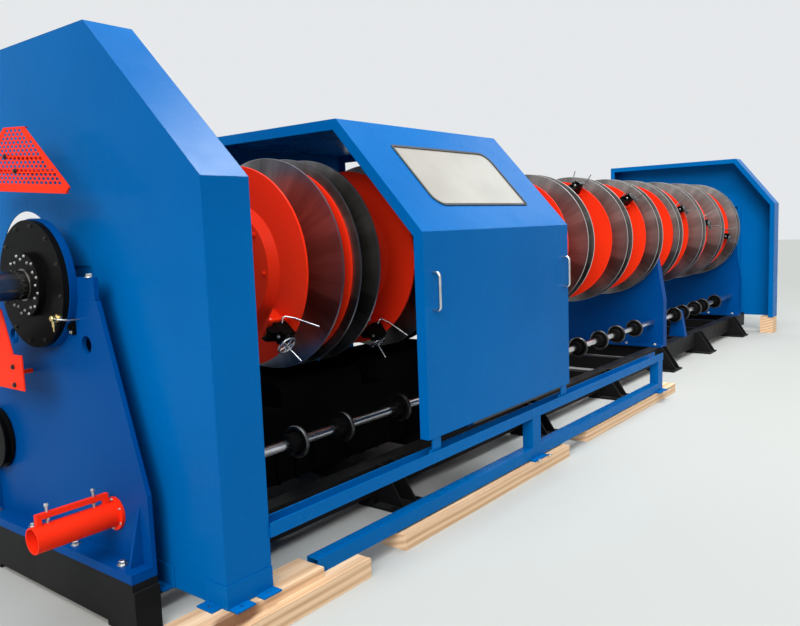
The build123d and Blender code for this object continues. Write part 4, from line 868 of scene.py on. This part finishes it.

# %% [markdown]
# ## Shade plate
# A plate closes the slot of the end wall round the shaft, on its inner side, so that the lit
# inside of the cover doesn't show through the slot: it is a sheet put there to paint in the shade
# seen through it. A hole in a plate could be cut with a boolean. Two halves that meet at the
# middle line, each with half of the hole in its outline, need none, and such a plate is best split
# there, because it is fitted round a shaft.

# %% Shade plate
WALL_INNER = 434.0
SHADE_PLATE_HALF = 245.0
SHADE_PLATE_RISE = 85.0
SHADE_PLATE_SHEET = 3.0
SHAFT_HOLE = 80.0
HOLE_STEP = 15

shade_plate_place = placed_at(point(WALL_INNER, 0.0, AXIS_Z / MM), FAR, (0.0, 1.0, 0.0))
dust_plate = Shape()
for side in (-1, 1):
    arc = [(side * SHAFT_HOLE * math.cos(angle), SHAFT_HOLE * math.sin(angle))
           for angle in (math.radians(turn) for turn in range(-90, 91, HOLE_STEP))]
    outline = arc + [(0.0, SHADE_PLATE_RISE), (side * SHADE_PLATE_HALF, SHADE_PLATE_RISE),
                     (side * SHADE_PLATE_HALF, -SHADE_PLATE_RISE), (0.0, -SHADE_PLATE_RISE)]
    dust_plate.prism(outline, 0.0, SHADE_PLATE_SHEET, shade_plate_place)
# Blue sheet behind the slot, standing in for the shade seen through it.
finished("dust_plate", dust_plate.mesh("dust_plate"), "frame", "blue_sheet")

# %% [markdown]
# ## Speed sensor
# A small brass sensor sits on the lower right of the black cover, on a foot of flat bar, and
# a bright tube leads from it back to the pedestal. It could be one lump of the right size,
# but it is the one small thing here that catches the eye, so its turned body, foot and nipple
# are separate shapes in one piece. Its drawing lies in its own place: x towards the aisle,
# y up and z out of the cover.

# %% Speed sensor
SENSOR_STATION = 280.0
SENSOR_ACROSS = -205.0
SENSOR_HEIGHT = 1190.0
AISLE = (0, -1, 0)
TUBE_OUT = 22
TUBE_TRACK = [(12, 0, TUBE_OUT), (36, -2, TUBE_OUT), (46, -4, 12), (50, -8, -12),
              (50, -10, -56)]

sensor_place = placed_at(point(SENSOR_STATION, SENSOR_ACROSS, SENSOR_HEIGHT), NEAR, AISLE)
sensor = Shape()
sensor.lathe([(0, 0), (17, 0), (17, 10), (12, 13), (12, 30), (9, 33), (0, 33)], sensor_place, 20)
sensor.prism([(-34, -9), (30, -9), (30, 9), (-34, 9)], 0, 9, sensor_place)
sensor.rod([(0, -6, TUBE_OUT), (0, -34, TUBE_OUT)], 6, sensor_place)
sensor.rod([(0, -34, TUBE_OUT), (0, -52, TUBE_OUT)], 3, sensor_place)
finished("speed_sensor", sensor.mesh("speed_sensor"), "frame", "black_machinery", brass)
pipe = Shape()
pipe.rod(TUBE_TRACK, 3.5, sensor_place)
finished("sensor_pipe", pipe.mesh("sensor_pipe"), "frame", "black_machinery", zinc)

# %% [markdown]
# The connector of the sensor is a black plate with cut corners, screwed on the pedestal above
# and below its round plug. Its screws come from the tree of bolts, on the face of the plate.

# %% Connector of the sensor
CONNECTOR_STATION = 335.0
CONNECTOR_ACROSS = -216.0
CONNECTOR_HEIGHT = 1152.0
CONNECTOR_THICKNESS = 14
CONNECTOR_OUTLINE = [(-13, -34), (13, -34), (17, -30), (17, 30), (13, 34), (-13, 34),
                     (-17, 30), (-17, -30)]
CONNECTOR_SCREWS_UP = (-24.0, 24.0)

connector = Shape()
connector_place = placed_at(point(CONNECTOR_STATION, CONNECTOR_ACROSS, CONNECTOR_HEIGHT), NEAR,
                            AISLE)
connector.prism(CONNECTOR_OUTLINE, 0, CONNECTOR_THICKNESS, connector_place)
connector.lathe([(0, CONNECTOR_THICKNESS), (11, CONNECTOR_THICKNESS), (11, 24), (0, 24)],
                connector_place, 16)
finished("sensor_connector", connector.mesh("sensor_connector"), "frame", "black_machinery")
connector_screws = [(point(CONNECTOR_STATION - CONNECTOR_THICKNESS, CONNECTOR_ACROSS,
                           CONNECTOR_HEIGHT + rise), NEAR) for rise in CONNECTOR_SCREWS_UP]
bolted("connector_screws", connector_screws, "frame", "black_machinery", zinc, radius=6.0)

# %% [markdown]
# ## Lead-in tube
# Two clamping screws stand in the bar above the red tube, with a nut below the bar, and six
# small bolts hold the flange of the tube. A clamping screw stands far out of its nut, which
# the tree of bolts doesn't draw, so these two are turned from their own profiles. A lathe
# with six sides gives the hexagons.

# %% Lead-in tube
TUBE_ACROSS = -416.0
TUBE_HEIGHT = 417.0
TUBE_FLANGE_FACE = 321.0
BAR_TOP = 509.0
BAR_SCREW_STATIONS = (62.0, 246.0)
FLANGE_CIRCLE = 58.0
FLANGE_BOLTS = 6

bar_screws = Shape()
for station in BAR_SCREW_STATIONS:
    stand = placed_at(point(station, TUBE_ACROSS, BAR_TOP), UP)
    bar_screws.lathe([(0, -46), (5, -46), (5, 22), (0, 22)], stand, 14)
    bar_screws.lathe([(0, 22), (9, 22), (9, 30), (7, 33), (0, 33)], stand, 6)
    bar_screws.lathe([(5, -30), (9, -30), (9, -22), (5, -22)], stand, 6)
finished("lead_bar_screws", bar_screws.mesh("lead_bar_screws"), "frame", "red_paint", zinc)
flange_turns = [2 * math.pi * (step + 0.5) / FLANGE_BOLTS for step in range(FLANGE_BOLTS)]
flange_bolts = [(point(TUBE_FLANGE_FACE, TUBE_ACROSS + FLANGE_CIRCLE * math.cos(turn),
                       TUBE_HEIGHT + FLANGE_CIRCLE * math.sin(turn)), NEAR)
                for turn in flange_turns]
bolted("lead_flange_bolts", flange_bolts, "frame", "red_paint", zinc, radius=4.5)

# %% [markdown]
# ## Perforated sheet
# The upper belt guard is one sheet with rows of slots, every other row moved by half a step.
# Hundreds of boolean cuts would be slow and leave poor faces. The slots are punched as a
# press would do it: a grid of points is moved into rows, points outside the slanted edges are
# dropped, and closed slot curves inside the outline of the sheet are filled together with it
# and then given their thickness.


# %% Perforated sheet
SLOT_END_ROUNDING = 0.49
MERGE_REACH = 0.00002


def perforated_tree():
    """Tree that fills an outline, leaving rows of slots, and gives it a thickness."""
    names = ("Pitch", "Row Pitch", "Slot Length", "Slot Width", "Base Half", "Lean", "Margin",
             "Height", "Thickness")
    graph = Graph("perforated_sheet", {**{name: "Float" for name in names},
                                       "Columns": "Int", "Rows": "Int"})
    start = graph.start
    last_column, last_row = start["Columns"] - 1.0, start["Rows"] - 1.0
    grid = graph.node("GeometryNodeMeshGrid", {
        "Vertices X": start["Columns"], "Vertices Y": start["Rows"],
        "Size X": start["Pitch"] * last_column, "Size Y": start["Row Pitch"] * last_row})
    place = graph.node("GeometryNodeInputPosition")
    across = graph.node("ShaderNodeSeparateXYZ", {0: place}, output="X")
    height = graph.node("ShaderNodeSeparateXYZ", {0: place}, output="Y")
    odd = round(height / start["Row Pitch"] + last_row * 0.5) % 2.0
    shift = graph.node("ShaderNodeCombineXYZ", {
        "X": odd * 0.5 * start["Pitch"], "Y": start["Height"] * 0.5})
    moved = graph.node("GeometryNodeSetPosition", {"Geometry": grid, "Offset": shift})
    limit = start["Base Half"] - height * start["Lean"] - start["Margin"]
    outside = graph.node("FunctionNodeCompare", {0: abs(across), 1: limit},
                         operation="GREATER_THAN")
    kept = graph.node("GeometryNodeDeleteGeometry", {"Geometry": moved, "Selection": outside},
                      domain="POINT")
    slot = graph.node("GeometryNodeCurvePrimitiveQuadrilateral", {
        "Width": start["Slot Length"], "Height": start["Slot Width"]}, mode="RECTANGLE")
    slot = graph.node("GeometryNodeFilletCurve", {
        "Curve": slot, "Radius": start["Slot Width"] * SLOT_END_ROUNDING, "Count": 2}, mode="POLY")
    slots = graph.node("GeometryNodeRealizeInstances", {"Geometry": graph.node(
        "GeometryNodeInstanceOnPoints", {"Points": kept, "Instance": slot})})
    outline = graph.node("GeometryNodeMeshToCurve", {0: start["Geometry"]})
    sheet = graph.node("GeometryNodeFillCurve", {
        "Curve": graph.node("GeometryNodeJoinGeometry", {"Geometry": [outline, slots]})},
        mode="TRIANGLES")
    lifted = graph.node("GeometryNodeExtrudeMesh", {
        "Mesh": sheet, "Offset": (0.0, 0.0, 1.0), "Offset Scale": start["Thickness"],
        "Individual": False}, mode="FACES")
    under = graph.node("GeometryNodeFlipFaces", {"Mesh": sheet})
    both = graph.node("GeometryNodeJoinGeometry", {"Geometry": [lifted, under]})
    graph.end(graph.node("GeometryNodeMergeByDistance", {"Geometry": both,
                                                         "Distance": MERGE_REACH}))
    return graph


perforated = perforated_tree()
print("perforated sheet ready")

# %% [markdown]
# The sheet of this guard is a flat trapezoid. Its size, the steps between the slots and the
# slots themselves go into the tree as inputs, so a guard with fewer rows is one number away.

# %% Sheet of the belt guard
GUARD_HEIGHT = 230.0
GUARD_LOW_HALF = 404.0
GUARD_HIGH_HALF = 81.0
GUARD_SHEET = 2.0
SLOT_PITCH = 34.0
SLOT_COLUMNS = 25
SLOT_ROWS = 14
SLOT_LENGTH = 23.0
SLOT_WIDTH = 11.5
SLOT_MARGIN = 14.0

outline_points = [(-GUARD_LOW_HALF, 0), (GUARD_LOW_HALF, 0), (GUARD_HIGH_HALF, GUARD_HEIGHT),
                  (-GUARD_HIGH_HALF, GUARD_HEIGHT)]
outline_mesh = bpy.data.meshes.new("guard_outline")
outline_mesh.from_pydata([(x * MM, y * MM, 0.0) for x, y in outline_points],
                         [(0, 1), (1, 2), (2, 3), (3, 0)], [])
guard_lean = (GUARD_LOW_HALF - GUARD_HIGH_HALF) / GUARD_HEIGHT
row_pitch = (GUARD_HEIGHT - 2 * SLOT_MARGIN) / (SLOT_ROWS - 1)
sheet_mesh = grown(perforated, outline_mesh, {
    "Pitch": SLOT_PITCH * MM, "Row Pitch": row_pitch * MM, "Slot Length": SLOT_LENGTH * MM,
    "Slot Width": SLOT_WIDTH * MM, "Base Half": GUARD_LOW_HALF * MM, "Lean": guard_lean,
    "Margin": 2.0 * SLOT_MARGIN * MM, "Height": GUARD_HEIGHT * MM, "Thickness": GUARD_SHEET * MM,
    "Columns": SLOT_COLUMNS, "Rows": SLOT_ROWS, "Finish": materials["red_paint"]})
print("sheet faces:", len(sheet_mesh.polygons))

# %% [markdown]
# ## Upper belt guard
# The sheet is stood up at its station, leaning by a few degrees. Its folded edges, the lip
# below and three distance rods to the wall are added, so it hangs on what carries it. Folds
# could come from a Solidify modifier on the outline, but the real ones differ in depth, so
# each edge gets its own strip.

# %% Upper belt guard
WALL_STATION = 430.0
GUARD_STATION = 260.0
GUARD_LOW = 1690.0
GUARD_TILT = math.radians(4.2)
GUARD_LIP = 25.0
GUARD_EDGE = 22.0
GUARD_SIDE_EDGE = 7.0
GUARD_ROD_RADIUS = 9.0

guard_middle = point(GUARD_STATION, GUARD_LOW_HALF * (math.cos(GUARD_TILT) - 1),
                     GUARD_LOW + GUARD_LOW_HALF * math.sin(GUARD_TILT))
guard_along = (0.0, math.cos(GUARD_TILT), math.sin(GUARD_TILT))
guard_place = placed_at(guard_middle, FAR, guard_along)
sheet_mesh.transform(guard_place)

guard = Shape()
guard.parts.from_mesh(sheet_mesh)
lip_corners = [(GUARD_LIP - GUARD_LOW_HALF, -GUARD_LIP),
               (GUARD_LOW_HALF - GUARD_LIP, -GUARD_LIP)]
rim = outline_points[:1] + lip_corners + outline_points[1:]
guard.prism(rim[:4], 0.0, GUARD_SHEET, guard_place)
middle = Vector((0.0, GUARD_HEIGHT / 3))
for first, second in zip(rim, rim[1:] + rim[:1]):
    first, second = Vector(first), Vector(second)
    deep = GUARD_EDGE if abs(first.y - second.y) < GUARD_SHEET else GUARD_SIDE_EDGE
    inner = [corner + (middle - corner).normalized() * 2 * GUARD_SHEET
             for corner in (second, first)]
    strip = [tuple(corner) for corner in (first, second, *inner)]
    guard.prism(strip, GUARD_SHEET * 0.5, deep, guard_place)
guard_rods = ((0.0, GUARD_HEIGHT / 4), (GUARD_LOW_HALF / 2, GUARD_HEIGHT / 4),
              (GUARD_HIGH_HALF, GUARD_HEIGHT / 2))
for x, y in guard_rods:
    guard.rod([(x, y, GUARD_SHEET), (x, y, WALL_STATION - GUARD_STATION)], GUARD_ROD_RADIUS,
              guard_place)
finished("belt_guard", guard.mesh("belt_guard"), "frame", "red_paint",
         replaces=("belt_guard_upper",))

# %% [markdown]
# A bolt sits over each rod of the upper guard, so its place is taken from the guard's own. The
# lower guard is a solid piece of the frame, and its four bolts are named by where they show.

# %% Bolts of both belt guards
LOWER_GUARD_STATION = 160.0
LOWER_GUARD_BOLTS = ((-46.0, 1000.0), (-47.0, 927.0), (165.0, 938.0), (300.0, 938.0))

guard_bolts = [(guard_place @ Vector((x * MM, y * MM, 0.0)), NEAR) for x, y in guard_rods]
lower_bolts = [(point(LOWER_GUARD_STATION, across, height), NEAR)
               for across, height in LOWER_GUARD_BOLTS]
bolted("guard_bolts", guard_bolts + lower_bolts, "frame", "red_paint", black_oxide, radius=8.0)

# %% [markdown]
# ## Copies of one part
# A bolt looks the same from any turn, but a tape guide or a pulley doesn't. Its points hold
# two directions, the way it faces and the way its x runs, and the tree turns each copy by
# both. Copies by hand, one object for each, would be hard to change all at once.


# %% Copies of one part
def copy_tree():
    """Tree that copies one object to points that hold facing and along."""
    graph = Graph("placed_copies", {"Part": "Object"})
    part = graph.node("GeometryNodeObjectInfo", {"Object": graph.start["Part"]}, output="Geometry")
    turn_to = graph.node("FunctionNodeAxesToRotation", {
        "Primary Axis": graph.attribute("facing"), "Secondary Axis": graph.attribute("along")},
        primary_axis="Z", secondary_axis="X")
    graph.end(graph.node("GeometryNodeInstanceOnPoints", {
        "Points": graph.start["Geometry"], "Instance": part, "Rotation": turn_to}))
    return graph


copies = copy_tree()


def copied(name, shape, places, body, slot, material=None, replaces=()):
    """One piece of copies of a shape on places that hold facing and along."""
    part = bpy.data.objects.new(name + "_part", shape)
    bpy.context.scene.collection.objects.link(part)
    mesh = grown(copies, seeds(name, places), {
        "Part": part, "Finish": material or materials[slot]})
    bpy.data.objects.remove(part)
    return finished(name, mesh, body, slot, material, replaces)


print("copy tree ready")

# %% [markdown]
# ## Hand wheel of a tape guide
# Outside the clamp of each tape guide sits a spoked hand wheel on its spindle, and bent rods
# lead the tape. The wheel could be a disc with holes, but a rim with thin spokes is what
# catches the light. The guide is drawn once in its own place, from the middle of its clamp:
# x along the machine, z away from the rotor axis.


# %% Hand wheel of a tape guide
CLAMP_HALF = 43.0
WHEEL_RADIUS = 52.0
WHEEL_ACROSS = -30.0
WHEEL_LOW = 56.0
WHEEL_HIGH = 66.0
RIM_HALF_WIDTH = 6
RIM_HALF_HEIGHT = 5
RIM_SIDES = 10
SPOKES = 5
LONG_ROD = [(10, 31, -34), (14, 52, -48), (24, 62, -44), (55, 72, -15), (100, 115, 108)]
SHORT_ROD = [(20, -20, 42), (24, -52, 62), (40, -60, 150)]


def hand_wheel_and_rods():
    """Spoked wheel on its spindle with the bright rods, from the middle of the clamp."""
    part = Shape()
    middle = (WHEEL_LOW + WHEEL_HIGH) / 2
    stand = Matrix.Translation((0.0, WHEEL_ACROSS * MM, 0.0))
    rim_turns = [2 * math.pi * step / RIM_SIDES for step in range(RIM_SIDES)]
    rim = [(WHEEL_RADIUS - RIM_HALF_WIDTH + RIM_HALF_WIDTH * math.cos(angle),
            middle + RIM_HALF_HEIGHT * math.sin(angle)) for angle in rim_turns]
    part.lathe(rim, stand, sides=32)
    part.lathe([(0, WHEEL_LOW - 2), (13, WHEEL_LOW - 2), (13, WHEEL_HIGH - 2), (10, WHEEL_HIGH),
                (0, WHEEL_HIGH)], stand, sides=20)
    part.lathe([(0, CLAMP_HALF), (8, CLAMP_HALF), (8, WHEEL_LOW), (0, WHEEL_LOW)], stand, sides=16)
    part.lathe([(0, CLAMP_HALF), (15, CLAMP_HALF), (15, CLAMP_HALF + 7), (0, CLAMP_HALF + 7)],
               stand, sides=6)
    lift = Vector((0.0, 0.0, middle))
    for step in range(SPOKES):
        angle = 2 * math.pi * step / SPOKES
        way = Vector((math.cos(angle), math.sin(angle), 0.0))
        part.rod([way * 11 + lift, way * (WHEEL_RADIUS - 7) + lift], 5.0, stand, sides=8)
    part.rod(LONG_ROD, 4.5)
    part.rod(SHORT_ROD, 4.0)
    return part.mesh("hand_wheel")


print("hand wheel drawn, radius", WHEEL_RADIUS, "mm")

# %% [markdown]
# ## Fork of a tape guide
# On the near side of the clamp two black cheeks carry a small roller that the tape runs
# over. Cheeks are sawn from flat bar and the roller is turned, so the first are prisms and
# the second comes from a profile, with its rims and its pin in one piece.


# %% Fork of a tape guide
CHEEK_OUTLINE = [(-40, -30), (-40, 22), (-88, 16), (-104, 4), (-104, -14), (-88, -24)]
CHEEK_INNER = 24
CHEEK_OUTER = 31
ROLLER_PROFILE = [(0, -31), (5, -31), (5, -21), (14, -21), (14, -17), (9, -14), (9, 14),
                  (14, 17), (14, 21), (5, 21), (5, 31), (0, 31)]
ROLLER_PLACE = Vector((-90, 0, -4))


def guide_fork():
    """Black fork with its roller on the near side of the clamp, and the seat disc under it."""
    part = Shape()
    across = Matrix.Rotation(math.pi / 2, 4, "X")
    for side in (-1, 1):
        low, high = sorted((side * CHEEK_INNER, side * CHEEK_OUTER))
        part.prism(CHEEK_OUTLINE, low, high, across)
    part.lathe(ROLLER_PROFILE, Matrix.Translation(ROLLER_PLACE * MM) @ across, 16)
    part.lathe([(0, CLAMP_HALF), (30, CLAMP_HALF), (33, CLAMP_HALF + 3), (33, CLAMP_HALF + 14),
                (30, CLAMP_HALF + 17), (0, CLAMP_HALF + 17)], sides=24)
    return part.mesh("guide_fork")


print("fork drawn, cheeks", 2 * CHEEK_OUTER, "mm apart outside")

# %% [markdown]
# ## Tape guides on their heads
# Each head stands at its own station and turn on its rotor, so a table of both is all that the
# copies need. The wheels of the two heads nearest the camera are bright. The others are darker
# steel, which is their wear together with painted shade, so they are two pieces. The guide's
# flange gets four bolts at its corners, and its clamp two, all worked out from the same place, so
# they follow the guide.

# %% Tape guides on their heads
HEADS = {
    "rotor_1": ((1356.0, -142.0), (2207.0, -123.0), (3184.0, -60.0), (4160.0, 60.0),
                (4991.0, 117.0), (5774.0, 137.0)),
    "rotor_2": ((6518.0, 30.0), (6997.0, 152.0), (7660.0, 170.0), (8479.0, -171.0)),
}
NEAR_GUIDES = {"rotor_1": 2, "rotor_2": 0}
CLAMP_FROM_PLATE = -70.0
CLAMP_RADIUS = 505.0
FLANGE_BOLT_ALONG = 48
FLANGE_BOLT_ACROSS = 38
FLANGE_DROP = 55
CLAMP_FACE = -40
CLAMP_BOLT_UP = 22
HUB_FACE = -40.0
HUB_CIRCLE = 262.0
HUB_BOLTS = 8
HUB_STEP = 45

for rotor_name, heads in HEADS.items():
    guides, guide_bolts = [], []
    for station, turn in heads:
        angle = math.radians(turn)
        radial = Vector((0.0, math.cos(angle), math.sin(angle)))
        tangent = Vector((0.0, -math.sin(angle), math.cos(angle)))
        centre = point(station + CLAMP_FROM_PLATE, 0.0, AXIS_Z / MM) + radial * CLAMP_RADIUS * MM
        guides.append((centre, radial, FAR))
        for end in (-1, 1):
            for side in (-1, 1):
                corner = (Vector((end * FLANGE_BOLT_ALONG, 0, 0))
                          + side * FLANGE_BOLT_ACROSS * tangent - FLANGE_DROP * radial)
                guide_bolts.append((centre + MM * corner, -radial))
        for side in (-1, 1):
            face = Vector((CLAMP_FACE, 0, 0)) + side * CLAMP_BOLT_UP * radial
            guide_bolts.append((centre + MM * face, NEAR))
    near, far = guides[:NEAR_GUIDES[rotor_name]], guides[NEAR_GUIDES[rotor_name]:]
    if near:
        copied(rotor_name + "_near_hand_wheels", hand_wheel_and_rods(), near, rotor_name,
               "bright_steel")
    # The far wheels' dull steel is their wear together with painted shade.
    copied(rotor_name + "_hand_wheels", hand_wheel_and_rods(), far, rotor_name, "bright_steel",
           dull_steel, replaces=(rotor_name + "_guide_wheels",))
    copied(rotor_name + "_guide_forks", guide_fork(), guides, rotor_name, "black_machinery")
    bolted(rotor_name + "_guide_bolts", guide_bolts, rotor_name, "black_machinery", zinc,
           radius=7.5)
    hub_bolts = [place for station, _ in heads
                 for place in ring_of(station + HUB_FACE, HUB_CIRCLE, HUB_BOLTS,
                                      station % HUB_STEP)]
    bolted(rotor_name + "_hub_bolts", hub_bolts, rotor_name, "red_paint", radius=10.0)

# %% [markdown]
# ## Bolts of the stands
# Each stand has a bolted foot and carries a bearing with a ring of bolts. Both are built
# alike, so one list runs over their stations.

# %% Bolts of the stands
STANDS = (6190.0, 8925.0)
STAND_FOOT_TOP = 245.0
STAND_FOOT_MIDDLE = 10
STAND_BOLT_ALONG = (-48, 48)
STAND_BOLT_ACROSS = (-470, -180, 180, 470)
STAND_BEARING_FACE = -20.0
STAND_BEARING_CIRCLE = 112.0
STAND_BEARING_TURN = 22.5

stand_bolts = [(point(station + STAND_FOOT_MIDDLE + shift, across, STAND_FOOT_TOP), UP)
               for station in STANDS for shift in STAND_BOLT_ALONG
               for across in STAND_BOLT_ACROSS]
bolted("stand_foot_bolts", stand_bolts, "frame", "blue_castings", zinc, radius=14.0)
ring_bolts = [place for station in STANDS
              for place in ring_of(station + STAND_BEARING_FACE, STAND_BEARING_CIRCLE, 8,
                                   STAND_BEARING_TURN)]
bolted("stand_bearing_bolts", ring_bolts, "frame", "black_machinery", black_oxide, radius=9.0)

# %% [markdown]
# ## Bolts of the rail posts
# Each post of the rail frame ends in a plate with a bolt at every corner, on both sides of
# the machine. Four short loops in one list say just that.

# %% Bolts of the rail posts
POSTS = (2780.0, 4895.0)
RAIL_REACH = 968.0
POST_PLATE_TOP = 85.0
POST_BOLT_ALONG = (-64, 64)
POST_BOLT_ACROSS = (-50, 50)

post_bolts = [(point(station + shift, side * RAIL_REACH + lap, POST_PLATE_TOP), UP)
              for station in POSTS for side in (-1, 1) for shift in POST_BOLT_ALONG
              for lap in POST_BOLT_ACROSS]
bolted("post_bolts", post_bolts, "frame", "blue_sheet", zinc, radius=9.0)

# %% [markdown]
# ## Pulleys of the line shaft
# Each pulley has a rounded rim with worn steel on it and a collar that holds it on the shaft.
# Both are closed profiles turned about the shaft. They turn with it, so they ride on its
# body, and one copy tree sets them at the station of every pulley.

# %% Pulleys of the line shaft
PULLEYS = (1306.0, 1640.0, 2126.0, 2536.0, 2950.0, 3360.0, 3775.0, 4120.0, 4493.0, 4914.0,
           5282.0, 5705.0, 6815.0, 7070.0, 7482.0, 7760.0, 8239.0)
SHAFT_ACROSS = -433.0
SHAFT_HEIGHT = 465.0
FLANGE_RADIUS = 80.0
FLANGE_WIDTH = 12.0
RIM_RISE = 1.5
COLLAR_PROFILE = [(27, -44), (40, -44), (42, -42), (42, -8), (27, -8)]

tyre = Shape()
tyre.lathe([(FLANGE_RADIUS - 14, -3), (FLANGE_RADIUS - 12, -5), (FLANGE_RADIUS - 2, -5),
            (FLANGE_RADIUS + RIM_RISE, 0), (FLANGE_RADIUS + RIM_RISE, FLANGE_WIDTH),
            (FLANGE_RADIUS - 2, FLANGE_WIDTH + 4), (FLANGE_RADIUS - 12, FLANGE_WIDTH + 4),
            (FLANGE_RADIUS - 14, FLANGE_WIDTH)], sides=40)
tyre.lathe(COLLAR_PROFILE, sides=24)
pulley_places = [(point(station, SHAFT_ACROSS, SHAFT_HEIGHT), FAR, UP) for station in PULLEYS]
copied("pulley_rings", tyre.mesh("pulley_ring"), pulley_places, "line_shaft", "black_machinery",
       dull_steel)

# %% [markdown]
# ## Sizes
# The box of the frame alone and the box with every piece, side by side, show whether a
# detail stands out further than the solids do.

# %% Sizes
full_box = [list(corner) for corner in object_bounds()]
{"cad": cad_box, "visual": full_box}
print("visual box:", full_box)
